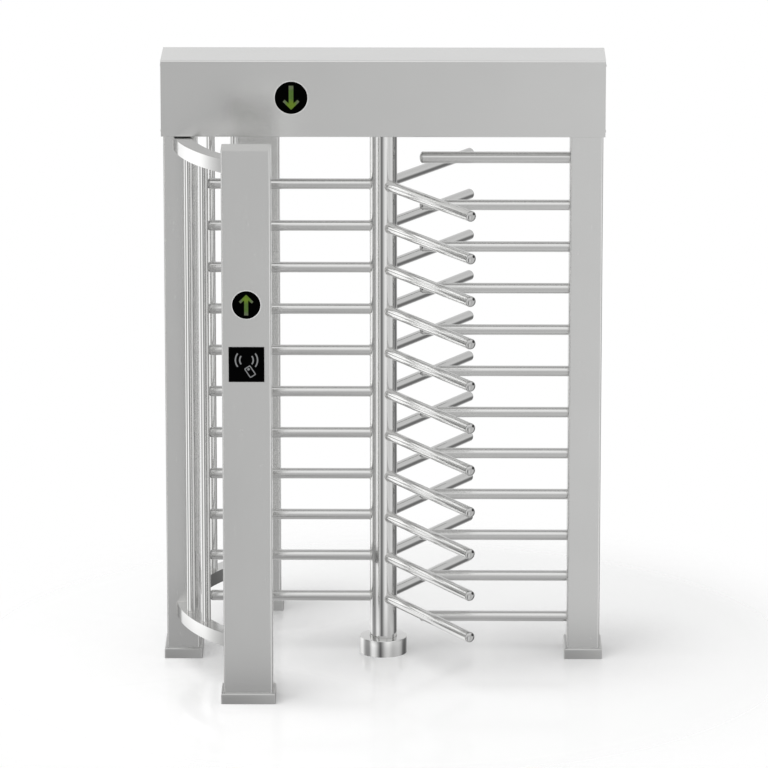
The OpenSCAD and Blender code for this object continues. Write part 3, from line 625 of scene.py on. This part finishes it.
def boardMaterial():  # solder mask with lighter tracks and round pads
    material, tree, shader = startMaterial("board_green", {})
    place = objectPlace(tree)
    cells = cellNode(tree, place, 130, distance="MANHATTAN")
    track = mapRange(tree, mathNode(tree, "PINGPONG", cells, 0.16), 0.06, 0.08)
    pad = mapRange(tree, cellNode(tree, place, 260), 0.14, 0.18, 1, 0)
    color = mixColor(tree, track, (0.010, 0.085, 0.030), (0.018, 0.150, 0.055))
    setInputs(tree, shader, {
        "Base Color": mixColor(tree, pad, color, (0.62, 0.56, 0.40)),
        "Metallic": multiply(tree, pad, 0.9),
        "Roughness": mapRange(tree, pad, 0, 1, 0.34, 0.22),
        "Normal": bumpNode(tree, mathNode(tree, "ADD", track, pad), 4e-5)})
    return material


def capacitorMaterial(topHeight):  # black sleeve, bare metal top
    material, tree, shader = startMaterial("capacitor_can", {})
    place = objectPlace(tree)
    fine = noiseNode(tree, place, Scale=900, Detail=2)
    bare = mapRange(tree, splitAxes(tree, place)[2], topHeight - 0.0002, topHeight + 0.0002)
    grey = newNode(tree, "CombineColor", dict.fromkeys(range(3), varyAround(tree, fine, 0.67, 0.05)))
    setInputs(tree, shader, {
        "Base Color": mixColor(tree, bare, (0.012, 0.012, 0.016), grey.outputs[0]),
        "Metallic": bare,
        "Roughness": varyAround(tree, fine, 0.31, 0.05)})
    return material


arrowLook = {
    "head": (0.115, 0.190, 0.018),
    "shaft": (0.075, 0.140, 0.029),
    "ends": (0.110, 0.132, 0.076),
    "between": (1.80, 1.81),  # heights above the posts' arrows and below the header's
    "postSpot": (-0.4915, 1.507, 0.0515),  # x, z and radius of the lamp
    "headerSpot": (-0.339, 2.161, 0.0605),
}


def arrowMaterial(values):  # brightest at the middle of the head, paler and duller towards the ends
    material, tree, shader = startMaterial("arrow_green", {
        "Roughness": 0.4, "Emission Strength": 1, "Specular IOR Level": 0.1})
    place = objectPlace(tree)
    x, _, z = splitAxes(tree, place)
    upper = mapRange(tree, z, *values["between"])
    middleX, middleZ, radius = [mapRange(tree, upper, 0, 1, low, high)
                                for low, high in zip(values["postSpot"], values["headerSpot"])]
    across, rise = [mathNode(tree, "DIVIDE", mathNode(tree, "SUBTRACT", axis, middle), radius)
                    for axis, middle in ((x, middleX), (z, middleZ))]
    along = multiply(tree, rise, mapRange(tree, upper, 0, 1, 1, -1))
    fromHead = vectorNode(tree, "LENGTH", joinAxes(tree, across, mathNode(tree, "SUBTRACT", along, 0.42)))
    headShare = mapRange(tree, fromHead, 0.10, 0.42, smooth=True)
    glow = mixColor(tree, headShare, values["head"], values["shaft"])
    tail = mapRange(tree, along, -0.35, -0.72, smooth=True)
    wings = mapRange(tree, mathNode(tree, "ABSOLUTE", across), 0.22, 0.42, smooth=True)
    glow = mixColor(tree, mathNode(tree, "MAXIMUM", tail, wings), glow, values["ends"])
    grid = mapRange(tree, cellNode(tree, place, 300), 0.2, 0.7, 0, 0.22)
    glow = mixColor(tree, grid, glow, (0, 0, 0))
    setInputs(tree, shader, {"Emission Color": glow, "Base Color": mixColor(tree, 0.85, glow, (0, 0, 0))})
    return material


looks["board_green"] = boardMaterial()
looks["capacitor_can"] = capacitorMaterial(2.0440)
looks["arrow_green"] = arrowMaterial(arrowLook)
print("materials made")


# ---- welds

tubeValues = {
    "poleRadius": 0.051,
    "armRadius": 0.020,
    "armTop": 1.809,
    "armPitch": 0.159,
    "armCount": 11,
    "wingAngles": (180, -60, 60),
    "barRadius": 0.020,
    "topBarRadius": 0.022,
    "topBarRise": 0.101,
}
armHeights = [tubeValues["armTop"] - i*tubeValues["armPitch"] for i in range(tubeValues["armCount"])]
barHeights = [tubeValues["armTop"] - (i + 0.5)*tubeValues["armPitch"] for i in range(tubeValues["armCount"])]
barSets = ((tubeValues["barRadius"], barHeights),
           (tubeValues["topBarRadius"], [tubeValues["armTop"] + tubeValues["topBarRise"]]))
weldValues = {
    "segments": 44,
    "beadRadius": 0.0015,
    "seat": 0.0004,
    "rippleDepth": 0.00025,
    "barEnd": 0.6918,
    "tubeRadius": 0.017,
    "tubeCircle": 0.750,
    "tubeAngles": (17.4, 29.0, 40.6),
    "tubeEnds": (0.2192, 1.9598),
    # near x, far x, depth of the band's end, and the way the bead sinks into it
    "bandSections": ((-0.7131, -0.7756, 0.092, 0.0002), (-0.4522, -0.5454, 0.559, -0.0002)),
    "bandHeights": ((0.169, 0.219), (1.960, 2.010)),
    "bandCorner": 0.002,
    "bandBead": 0.0018,
}


def onArms(place):  # a place on the wing along +X, turned and raised to each arm
    return [spinMatrix(wing) @ shiftMatrix(0, 0, height) @ place
            for wing in tubeValues["wingAngles"] for height in armHeights]


def onBars(makePart, x, side):  # a part that fits the radius for each comb bar, its +Z to one side
    return joinPieces([
        copyAll(makePart(radius), [outward((x, 0, height), (side, 0, 0)) for height in heights])
        for radius, heights in barSets])


def addRing(radius, wireRadius, segments, wireSegments):
    bpy.ops.mesh.primitive_torus_add(major_radius=radius, minor_radius=wireRadius, major_segments=segments,
                                     minor_segments=wireSegments, location=origin)
    return bpy.context.object


def makeWeldRing(radius):  # a rippled bead lying round +Z
    ring = addRing(radius + weldValues["seat"], weldValues["beadRadius"], weldValues["segments"], 8)
    clearPicks(ring, "VERT")
    for point in ring.data.vertices:
        step = round(math.atan2(point.co.y, point.co.x)/(2*math.pi)*weldValues["segments"])
        point.select = step % 2 == 0
    startEdit()
    bpy.ops.transform.shrink_fatten(value=weldValues["rippleDepth"])
    endEdit()
    return ring


def armWelds(values):
    ring = makeWeldRing(tubeValues["armRadius"])
    ring.rotation_euler = (math.radians(-90), 0, 0)  # its axis to +Y, then bent round the upright pole
    bakePlace(ring)
    bend = ring.modifiers.new("bend", "SIMPLE_DEFORM")
    bend.deform_method, bend.deform_axis = "BEND", "Z"
    bend.angle = -ring.dimensions.x/tubeValues["poleRadius"]
    applyModifiers(ring)
    out = tubeValues["poleRadius"] + values["seat"]
    return copyAll(ring, onArms(spinMatrix(-90) @ shiftMatrix(0, out, 0)))


def tubeWelds(values):
    places = []
    for angle in map(math.radians, values["tubeAngles"]):
        across, along = -values["tubeCircle"]*math.cos(angle), values["tubeCircle"]*math.sin(angle)
        places += [shiftMatrix(across, side*along, end) for side in bothSides for end in values["tubeEnds"]]
    return copyAll(makeWeldRing(values["tubeRadius"]), places)


def bandWelds(values):  # a bead round each end of the four bands
    beads = []
    for near, far, depth, sink in values["bandSections"]:
        for low, high in values["bandHeights"]:
            bead = addRoundedPlane(abs(far - near), high - low, values["bandCorner"], 3)
            pickAll(bead)
            bpy.ops.mesh.subdivide(number_cuts=3)
            bpy.ops.mesh.select_mode(type="EDGE")
            selectEverything()
            bpy.ops.mesh.region_to_loop()
            bpy.ops.mesh.select_all(action="INVERT")
            bpy.ops.mesh.delete(type="EDGE")
            endEdit()
            bead = wireToTube(values["bandBead"])
            middles = [((near + far)/2, side*(depth + sink), (low + high)/2) for side in bothSides]
            beads.append(copyAll(bead, [shiftMatrix(*middle) @ spinMatrix(90, "X") for middle in middles]))
    return joinPieces(beads)


finishPiece(armWelds(weldValues), "armWelds", "rotor", "tube_steel", 60, "weld_steel")
finishPiece(onBars(makeWeldRing, weldValues["barEnd"], 1), "combWelds", frameBody, "tube_steel", 60, "weld_steel")
finishPiece(tubeWelds(weldValues), "tubeWelds", frameBody, "tube_steel", 60, "weld_steel")
finishPiece(bandWelds(weldValues), "bandWelds", frameBody, "band_steel", 60, "weld_steel")
print("welds made")


# ---- shoes round the posts' feet

shoeValues = {
    "height": 0.040,
    "standOut": 0.010,
    "gap": 0.0002,
    "edgeRound": 0.0062,
    "cornerRound": 0.0040,
    "postRound": 0.006,
    # half the post's size, places, and the node that they stand in for
    "sideShoes": ((0.061, 0.092), ((-0.753, 0, 0), (0.753, 0, 0)), "side_shoes"),
    "auxShoes": ((0.090, 0.063), ((-0.4915, -0.622, 0), (-0.4915, 0.622, 0)), "aux_shoes"),
}


def makeShoes(values, half, places):
    out, gap = values["standOut"], values["gap"]
    outer = addRoundedPlane(2*(half[0] + out), 2*(half[1] + out), values["cornerRound"])
    inner = addRoundedPlane(2*(half[0] + gap), 2*(half[1] + gap), values["postRound"] + gap)
    shoe = joinPieces([outer, inner])
    pickAll(shoe)
    bpy.ops.mesh.delete(type="ONLY_FACE")
    bpy.ops.mesh.select_mode(type="EDGE")
    selectEverything()
    bpy.ops.mesh.bridge_edge_loops()
    selectEverything()
    extrudeUp(values["height"])
    faceOutward()
    innerX, innerY = [length + gap + touching for length in half]
    limitX, limitY = [length + out - values["cornerRound"] - touching for length in half]

    def onTopRim(a, b):
        outside = all(abs(p.x) > limitX or abs(p.y) > limitY for p in (a, b))
        inside = any(abs(p.x) < innerX and abs(p.y) < innerY for p in (a, b))
        return outside and not inside and min(a.z, b.z) > values["height"] - touching

    roundEdges(shoe, values["edgeRound"], 6, onTopRim)
    return copyAll(shoe, [shiftMatrix(*place) for place in places])


for shoeName in ("sideShoes", "auxShoes"):
    postHalf, shoePlaces, nodeName = shoeValues[shoeName]
    shoes = finishPiece(makeShoes(shoeValues, postHalf, shoePlaces), shoeName, frameBody, "shoe_steel", 40)
    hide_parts(nodeName)
print("shoes made")


# ---- collar over the floor pivot

collarValues = {
    "radius": 0.089,
    "height": 0.063,
    "holeRadius": 0.052,
    "wall": 0.004,
    "edgeRound": 0.0018,
    "segments": 128,
}


def makeCollar(values):
    bpy.ops.mesh.primitive_circle_add(vertices=values["segments"], radius=values["radius"], location=origin)
    collar = bpy.context.object
    pickAll(collar)
    extrudeUp(values["height"])
    stepIn(values["holeRadius"]/values["radius"])
    faceOutward()
    rim, top = values["radius"] - touching, values["height"] - touching
    roundEdges(collar, values["edgeRound"], 4,
               lambda a, b: all(math.hypot(p.x, p.y) > rim and p.z > top for p in (a, b)))
    wall = collar.modifiers.new("wall", "SOLIDIFY")
    wall.thickness, wall.offset = values["wall"], -1
    applyModifiers(collar)
    return collar


collar = finishPiece(makeCollar(collarValues), "collarCover", frameBody, "collar_steel", 30)
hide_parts("collar_cover")
print("collar made")


# ---- domed caps on the tube ends

capValues = {
    "length": 0.013,
    "dome": 0.0122,
    "grooveDepth": 0.0003,
    "grooveWidth": 0.0003,
    "armTip": 0.657,
    "barTip": 0.134,
}
armSeam = capValues["armTip"] - capValues["length"]
barSeam = capValues["barTip"] + capValues["length"]


def makeCap(radius):  # its seam on z = 0 and its tip along +Z
    length, dome, groove = capValues["length"], capValues["dome"], capValues["grooveWidth"]
    bpy.ops.mesh.primitive_uv_sphere_add(segments=40, ring_count=20, radius=radius, location=origin)
    cap = bpy.context.object
    pickAll(cap)
    bpy.ops.mesh.bisect(plane_co=origin, plane_no=(0, 0, 1), clear_inner=True)
    selectEverything()
    bpy.ops.transform.resize(value=(1, 1, dome/radius), center_override=origin)
    endEdit()
    pickEdges(cap, lambda a, b: max(abs(a.z), abs(b.z)) < touching)
    extrudeUp(dome + groove - length)
    stepIn(1 - capValues["grooveDepth"]/radius)
    extrudeUp(-groove)
    bpy.ops.mesh.edge_face_add()
    selectEverything()
    bpy.ops.transform.translate(value=(0, 0, length - dome))
    faceOutward()
    return cap


armCaps = copyAll(makeCap(tubeValues["armRadius"]), onArms(outward((armSeam, 0, 0), (1, 0, 0))))
finishPiece(armCaps, "armCaps", "rotor", "cap_steel", 50)
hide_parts("arm_caps")
barCaps = finishPiece(onBars(makeCap, barSeam, -1), "barCaps", frameBody, "cap_steel", 50)
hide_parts("comb_caps")
print("caps made")


# ---- rubber plugs in the caps' vent holes

plugValues = {
    "armRadius": 0.0054,
    "barRadius": 0.0026,
    "height": 0.0012,
    "sunk": 0.0005,
    "armTurn": 56,
    "armOut": 0.0124,
    "barOut": 0.0199,
}


def makePlug(radius):  # a low domed button on z = 0
    height = plugValues["height"]
    return addStud(24, radius, height, height*0.6, 3)


def plugPlace(radius, out, turn):  # on the dome, out from its axis, turn degrees up from its side
    dome = capValues["dome"]
    rise = dome*math.sqrt(1 - (out/radius)**2)
    leanOut, leanAhead = out/radius**2, rise/dome**2
    side, up = math.cos(math.radians(turn)), math.sin(math.radians(turn))
    normal = Vector((-leanOut*up, leanOut*side, leanAhead)).normalized()
    spot = Vector((-out*up, out*side, capValues["length"] - dome + rise))
    return outward(spot - normal*plugValues["sunk"], normal)


def capFrame(place, axis):  # X down, Y to the cap's side, Z along the tube to its tip
    ahead = Vector(axis)
    side = Vector((0, 0, 1)).cross(ahead)
    turn = Matrix((Vector((0, 0, -1)), side, ahead)).transposed().to_4x4()
    return shiftMatrix(*place) @ turn


onArm = plugPlace(tubeValues["armRadius"], plugValues["armOut"], plugValues["armTurn"])
armPlugs = copyAll(makePlug(plugValues["armRadius"]), onArms(capFrame((armSeam, 0, 0), (1, 0, 0)) @ onArm))
finishPiece(armPlugs, "armPlugs", "rotor", "cap_steel", 40, "rubber_black")
onBar = plugPlace(tubeValues["barRadius"], plugValues["barOut"], 0)
barPlugs = copyAll(makePlug(plugValues["barRadius"]),
                   [capFrame((barSeam, 0, height), (-1, 0, 0)) @ onBar for height in barHeights])
finishPiece(barPlugs, "barPlugs", frameBody, "cap_steel", 40, "rubber_black")
print("plugs made")


# ---- lamp bezels

bezelValues = {
    "round": 0.0014,
    "flatten": 0.7,
    "cutHeight": -0.0002,
    # ring radius and its place
    "header": (0.0621, (-0.339, 0.1338, 2.161)),
    "post": (0.0531, (-0.4915, 0.6868, 1.507)),
}


def makeBezels(values):
    rings = []
    for radius, (x, y, z) in (values["header"], values["post"]):
        ring = addRing(radius, values["round"], 96, 12)
        pickAll(ring)
        bpy.ops.mesh.bisect(plane_co=(0, 0, values["cutHeight"]), plane_no=(0, 0, 1), clear_inner=True,
                            use_fill=True)
        selectEverything()
        bpy.ops.transform.resize(value=(1, 1, values["flatten"]))
        endEdit()
        rings.append(copyAll(ring, [outward((x, side*y, z), (0, side, 0)) for side in bothSides]))
    return joinPieces(rings)


finishPiece(makeBezels(bezelValues), "lampBezels", frameBody, "lamp_rim", 60)
print("bezels made")


# ---- screws and bolts

screwValues = {
    # head radius, head height, socket radius
    "button": (0.0050, 0.0026, 0.0018),
    "flat": (0.0036, 0.0005, 0.0015),
    "socket": (0.0065, 0.0070, 0.0035),
    "pillar": (0.0032, 0.0020, 0.0012),
    "strip": (0.0040, 0.0024, 0.0014),
    "endX": 0.8199,
    "endYs": (-0.112, 0.112),
    "endHeights": (2.033, 2.280),
    "leafY": 0.1342,
    "leafXs": [hingeX + dx for hingeX in (-0.175, 0.235, 0.645) for dx in (-0.027, 0.027)],
    "fixedLeaf": 2.2825,
    "movingLeaf": 2.2480,
    "plateHalf": (0.218, 0.083),
    "plateTop": 2.0679,
}
boltValues = {
    "radius": 0.0070,
    "height": 0.0050,
    "rim": 0.0007,
    "raised": 0.0005,
    "washerRadius": 0.0085,
    "washerHeight": 0.0012,
    "washerRound": 0.0003,
    "seat": 0.0010,
    "circle": 0.057,
    "angles": (45, 135, 225, 315),
    "top": 2.0759,
}


def makeScrew(radius, height, socket, domed=True):  # head on z = 0 with a hexagon socket
    dome, steps = (0.75, 4) if domed else (0.15, 2)
    screw = addStud(32, radius, height, height*dome, steps)
    cutAway(screw, addCylinder(6, socket, height, (0, 0, height*0.95)))
    return screw


def makeBolt(values):  # hexagon head on a round washer
    head = addCylinder(6, values["radius"], values["height"], (0, 0, values["seat"] + values["height"]/2))
    pickFaces(head, lambda face: face.normal.z > 0.9)
    bpy.ops.mesh.inset(thickness=values["rim"])
    bpy.ops.transform.translate(value=(0, 0, values["raised"]))
    endEdit()
    washer = addCylinder(32, values["washerRadius"], values["washerHeight"], (0, 0, values["washerHeight"]/2))
    roundEdges(washer, values["washerRound"], 2)
    return joinPieces([head, washer])


endPlaces = [outward((side*screwValues["endX"], y, z), (side, 0, 0))
             for side in bothSides for y in screwValues["endYs"] for z in screwValues["endHeights"]]
finishPiece(copyAll(makeScrew(*screwValues["button"]), endPlaces), "endScrews", frameBody, "lock_metal", 40)

for leafName, heightKey, leafBody in (("fixedLeafScrews", "fixedLeaf", frameBody),
                                      ("movingLeafScrews", "movingLeaf", "door")):
    leafY, leafZ = screwValues["leafY"], screwValues[heightKey]
    leafPlaces = [outward((x, leafY, leafZ), (0, 1, 0)) for x in screwValues["leafXs"]]
    finishPiece(copyAll(makeScrew(*screwValues["flat"]), leafPlaces), leafName, leafBody, "lock_metal", 40)

plateX, plateY = screwValues["plateHalf"]
platePlaces = [shiftMatrix(sideX*plateX, sideY*plateY, screwValues["plateTop"])
               for sideX in bothSides for sideY in bothSides]
plateScrews = copyAll(makeScrew(*screwValues["socket"], domed=False), platePlaces)
finishPiece(plateScrews, "plateScrews", frameBody, "machined_steel", 40, "sensor_black")

flangePlaces = [spinMatrix(angle) @ shiftMatrix(boltValues["circle"], 0, boltValues["top"])
                for angle in boltValues["angles"]]
finishPiece(copyAll(makeBolt(boltValues), flangePlaces), "flangeBolts", frameBody, "machined_steel", 30)
print("screws made")


# ---- plunger springs

springValues = {
    "coilRadius": 0.0082,
    "wireRadius": 0.0009,
    "turns": 6,
    "stepsPerTurn": 20,
    "length": 0.0170,
    "place": (0.1631, 0.040, 2.115),
}


def makeSprings(values):
    bpy.ops.mesh.primitive_circle_add(vertices=8, radius=values["wireRadius"],
                                      location=(values["coilRadius"], 0, 0), rotation=(math.radians(90), 0, 0))
    wire = bpy.context.object
    bakePlace(wire)
    coil = wire.modifiers.new("coil", "SCREW")
    coil.angle, coil.iterations = 2*math.pi, values["turns"]
    coil.screw_offset = values["length"]/values["turns"]
    coil.steps = coil.render_steps = values["stepsPerTurn"]
    coil.use_merge_vertices = False
    applyModifiers(wire)
    pickAll(wire)
    bpy.ops.mesh.select_mode(type="EDGE")
    bpy.ops.mesh.select_all(action="DESELECT")
    bpy.ops.mesh.select_non_manifold()
    bpy.ops.mesh.edge_face_add()
    faceOutward()
    x, y, z = values["place"]
    return copyAll(wire, [outward((side*x, side*y, z), (-side, 0, 0)) for side in bothSides])


finishPiece(makeSprings(springValues), "plungerSprings", frameBody, "bearing_steel", 60)
print("springs made")


# ---- control board with its parts

boardValues = {
    "corner": (0.300, -0.070, 2.028),
    "size": (0.230, 0.140, 0.002),
    "cornerRound": 0.003,
    "floor": 2.016,
    "pillarIn": 0.008,
    "pillarRadius": 0.004,
    "pillarRound": 0.0004,
    # rows: how many, pitch, first from the board's corner, y
    "terminalRow": (8, 0.022, 0.0248, -0.054),
    "terminalSize": (0.0186, 0.0160, 0.0140),
    "clampXs": (-0.0047, 0.0047),
    "clampY": 0.002,
    "clampHole": (0.0026, 0.0060, 0.0125),  # radius, depth and middle height
    "clampScrew": (0.0023, 0.0030, 0.0110),
    "wireMouth": (0.0056, 0.0080, 0.0050),
    "mouthPlace": (-0.0075, 0.0025),
    "driverSlot": (0.0050, 0.0007, 0.0020),
    "driverHeight": 0.0117,
    "relayRow": (4, 0.044, 0.0314, 0.042),
    "relaySize": (0.0308, 0.0240, 0.0180),
    # one square controller and three small drivers: width, depth, height, legs on a side, places
    "chips": ((0.024, 0.024, 0.0028, 12, ((0.385, -0.012),)),
              (0.011, 0.007, 0.0022, 5, ((0.440, -0.020), (0.440, 0.004), (0.345, -0.020)))),
    "chipLift": 0.0006,
    "legSize": (0.0008, 0.0009),
    "legOut": 0.004,
    "canSize": (0.0062, 0.0150),
    "canSpots": ((0.472, -0.014), (0.490, -0.014), (0.508, -0.014), (0.472, 0.008), (0.322, 0.006)),
}
boardTop = boardValues["corner"][2] + boardValues["size"][2]


def boardRow(values, count, pitch, start, y):
    return [shiftMatrix(values["corner"][0] + start + i*pitch, y, boardTop) for i in range(count)]


def makeBoard(values):
    width, depth, _ = values["size"]
    x, y, z = values["corner"]
    plate = addBlock(values["size"])
    roundEdges(plate, values["cornerRound"], 4, lambda a, b: abs(a.z - b.z) > touching)
    plate.data.transform(shiftMatrix(x + width/2, y + depth/2, z))
    return plate


def makePillars(values):
    x, y, z = values["corner"]
    width, depth, thick = values["size"]
    inset, height = values["pillarIn"], z - values["floor"]
    pillar = addCylinder(6, values["pillarRadius"], height, (0, 0, height/2))
    pickFaces(pillar, lambda face: abs(face.normal.z) > 0.9)
    bpy.ops.mesh.bevel(offset=values["pillarRound"], segments=1, affect="EDGES")
    endEdit()
    screw = makeScrew(*screwValues["pillar"])
    screw.data.transform(shiftMatrix(0, 0, height + thick))
    return copyAll(joinPieces([pillar, screw]),
                   [shiftMatrix(px, py, values["floor"])
                    for px in (x + inset, x + width - inset) for py in (y + inset, y + depth - inset)])


def makeTerminals(values):  # plug-in blocks with two clamping screws each
    block = addBlock(values["terminalSize"], 0.0006, 2)
    holeRadius, holeDepth, holeMiddle = values["clampHole"]
    for dx in values["clampXs"]:
        cutAway(block, addCylinder(20, holeRadius, holeDepth, (dx, values["clampY"], holeMiddle)))
        cutAway(block, addBlock(values["wireMouth"], place=(dx, *values["mouthPlace"])))
    return copyAll(block, boardRow(values, *values["terminalRow"]))


def makeTerminalScrews(values):
    radius, height, middle = values["clampScrew"]
    screw = addCylinder(20, radius, height, (0, 0, middle))
    cutAway(screw, addBlock(values["driverSlot"], place=(0, 0, values["driverHeight"])))
    return copyAll(screw, [place @ shiftMatrix(dx, values["clampY"], 0)
                           for place in boardRow(values, *values["terminalRow"]) for dx in values["clampXs"]])


def makeRelays(values):
    relay = addBlock(values["relaySize"], 0.0010, 3)
    sinkTop(relay, 0.0001, 0.0016, 0.0004)
    return copyAll(relay, boardRow(values, *values["relayRow"]))


def makeChips(values):
    chips = []
    legWidth, legHeight = values["legSize"]
    for width, depth, height, legs, spots in values["chips"]:
        body = addBlock((width, depth, height), 0.0004, 1, place=(0, 0, values["chipLift"]))
        leg = addBlock((legWidth, depth + values["legOut"], legHeight))
        legPlaces = [shiftMatrix((i - (legs - 1)/2)*width/(legs + 0.5), 0, 0) for i in range(legs)]
        if width == depth:
            legPlaces += [spinMatrix(90) @ place for place in legPlaces]
        chip = joinPieces([body] + [copyPiece(leg, place) for place in legPlaces])
        bpy.data.objects.remove(leg)
        chips.append(copyAll(chip, [shiftMatrix(px, py, boardTop) for px, py in spots]))
    return joinPieces(chips)


def makeCapacitors(values):
    can = addStud(32, *values["canSize"], 0.0009, 3)
    sinkTop(can, 0.00005, 0.0008, 0.0004)
    return copyAll(can, [shiftMatrix(px, py, boardTop) for px, py in values["canSpots"]])


board = finishPiece(makeBoard(boardValues), "boardPlate", frameBody, "board_green", 30)
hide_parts("control_board")
for partName, makePart, slotName, lookName in (
        ("boardPillars", makePillars, "machined_steel", None),
        ("boardTerminals", makeTerminals, "board_green", "terminal_green"),
        ("terminalScrews", makeTerminalScrews, "machined_steel", None),
        ("boardRelays", makeRelays, "sensor_black", "relay_black"),
        ("boardChips", makeChips, "sensor_black", "chip_black"),
        ("boardCapacitors", makeCapacitors, "supply_metal", "capacitor_can")):
    finishPiece(makePart(boardValues), partName, frameBody, slotName, 30, lookName)
print("board made")


# ---- supply terminals and the slotted wiring duct

supplyValues = {
    "place": (0.615, 0.0972, 2.0180),
    "size": (0.100, 0.0144, 0.0170),
    "cells": 7,
    "margin": 0.002,
    "wall": 0.0022,
    "step": 0.0030,
    "screwStep": 0.0026,
    "pocketShare": 0.45,
}
ductValues = {
    "start": 0.300,
    "length": 0.244,
    "middleY": -0.0985,
    "floor": 2.016,
    "width": 0.026,
    "height": 0.040,
    "wall": 0.0016,
    "lidHeight": 0.0060,
    "lidLip": 0.002,
    "railShare": 0.28,
    "toothPitch": 0.0122,
    "toothShare": 0.62,
    "toothDrop": 0.003,
}


def stripCells(values):  # the width of a cell and each cell's middle
    width, margin = values["size"][0], values["margin"]
    cell = (width - 2*margin)/values["cells"]
    return cell, [margin - width/2 + (i + 0.5)*cell for i in range(values["cells"])]


def makeSupplyStrip(values):
    _, depth, height = values["size"]
    strip = addBlock(values["size"], 0.0006, 2)
    cell, middles = stripCells(values)
    for middle in middles:
        place = (middle, values["step"], height*values["pocketShare"])
        cutAway(strip, addBlock((cell - values["wall"], depth, height), place=place))
    strip.data.transform(shiftMatrix(*values["place"]))
    return strip


def makeStripScrews(values):
    x, y, z = values["place"]
    rise = values["size"][2]*values["pocketShare"]
    places = [shiftMatrix(x + middle, y + values["screwStep"], z + rise) for middle in stripCells(values)[1]]
    return copyAll(makeScrew(*screwValues["strip"]), places)


def makeDuct(values):
    width, height, wall, length = values["width"], values["height"], values["wall"], values["length"]
    pitch, wallY = values["toothPitch"], width/2 - wall/2
    floorStrip = addBlock((length, width, wall))
    lid = addBlock((length, width + values["lidLip"], values["lidHeight"]), 0.0008, 2,
                   place=(0, 0, height - values["lidHeight"]))
    rail = addBlock((length, wall, height*values["railShare"]), place=(0, wallY, 0))
    tooth = addBlock((pitch*values["toothShare"], wall, height - values["toothDrop"]), 0.0004, 1)
    count = int(length/pitch)
    teeth = copyAll(tooth, [shiftMatrix((i - (count - 1)/2)*pitch, side*wallY, 0)
                            for i in range(count) for side in bothSides])
    duct = joinPieces([floorStrip, lid, rail, copyPiece(rail, spinMatrix(180)), teeth])
    duct.data.transform(shiftMatrix(values["start"] + length/2, values["middleY"], values["floor"]))
    return duct


finishPiece(makeSupplyStrip(supplyValues), "supplyStrip", frameBody, "sensor_black", 30)
finishPiece(makeStripScrews(supplyValues), "stripScrews", frameBody, "machined_steel", 30)
finishPiece(makeDuct(ductValues), "wiringDuct", frameBody, "supply_metal", 30, "duct_grey")
print("supply and duct made")


# ---- door seal

sealValues = {
    "xRange": (-0.2415, 0.7115),
    "zRange": (2.0535, 2.2555),
    "y": 0.1166,
    "cornerRound": 0.006,
    "round": 0.0014,
    "camGap": (0.223, 0.247),
    "camGapSize": 0.02,
}


def makeSeal(values):
    left, right = values["xRange"]
    low, high = values["zRange"]
    seal = addRoundedPlane(right - left, high - low, values["cornerRound"])
    pickAll(seal)
    bpy.ops.mesh.delete(type="ONLY_FACE")
    endEdit()
    seal = wireToTube(values["round"])
    seal.data.transform(shiftMatrix((left + right)/2, values["y"], (low + high)/2) @ spinMatrix(90, "X"))
    gapLeft, gapRight = values["camGap"]  # the lock's cam turns down through here
    gapSize = values["camGapSize"]
    cutAway(seal, addBlock((gapRight - gapLeft, gapSize, gapSize),
                           place=((gapLeft + gapRight)/2, values["y"], low - gapSize/2)))
    return seal


finishPiece(makeSeal(sealValues), "doorSeal", "door", "sensor_black", 60, "rubber_black")
print("door seal made")

slotOfNode = {part["node"]: part["material_slot"] for part in frame["record"]["subparts"]}
for nodeName, node in cadNodes.items():
    for materialSlot in node.material_slots:
        materialSlot.material = looks[slotOfNode[nodeName]]
print("materials assigned")
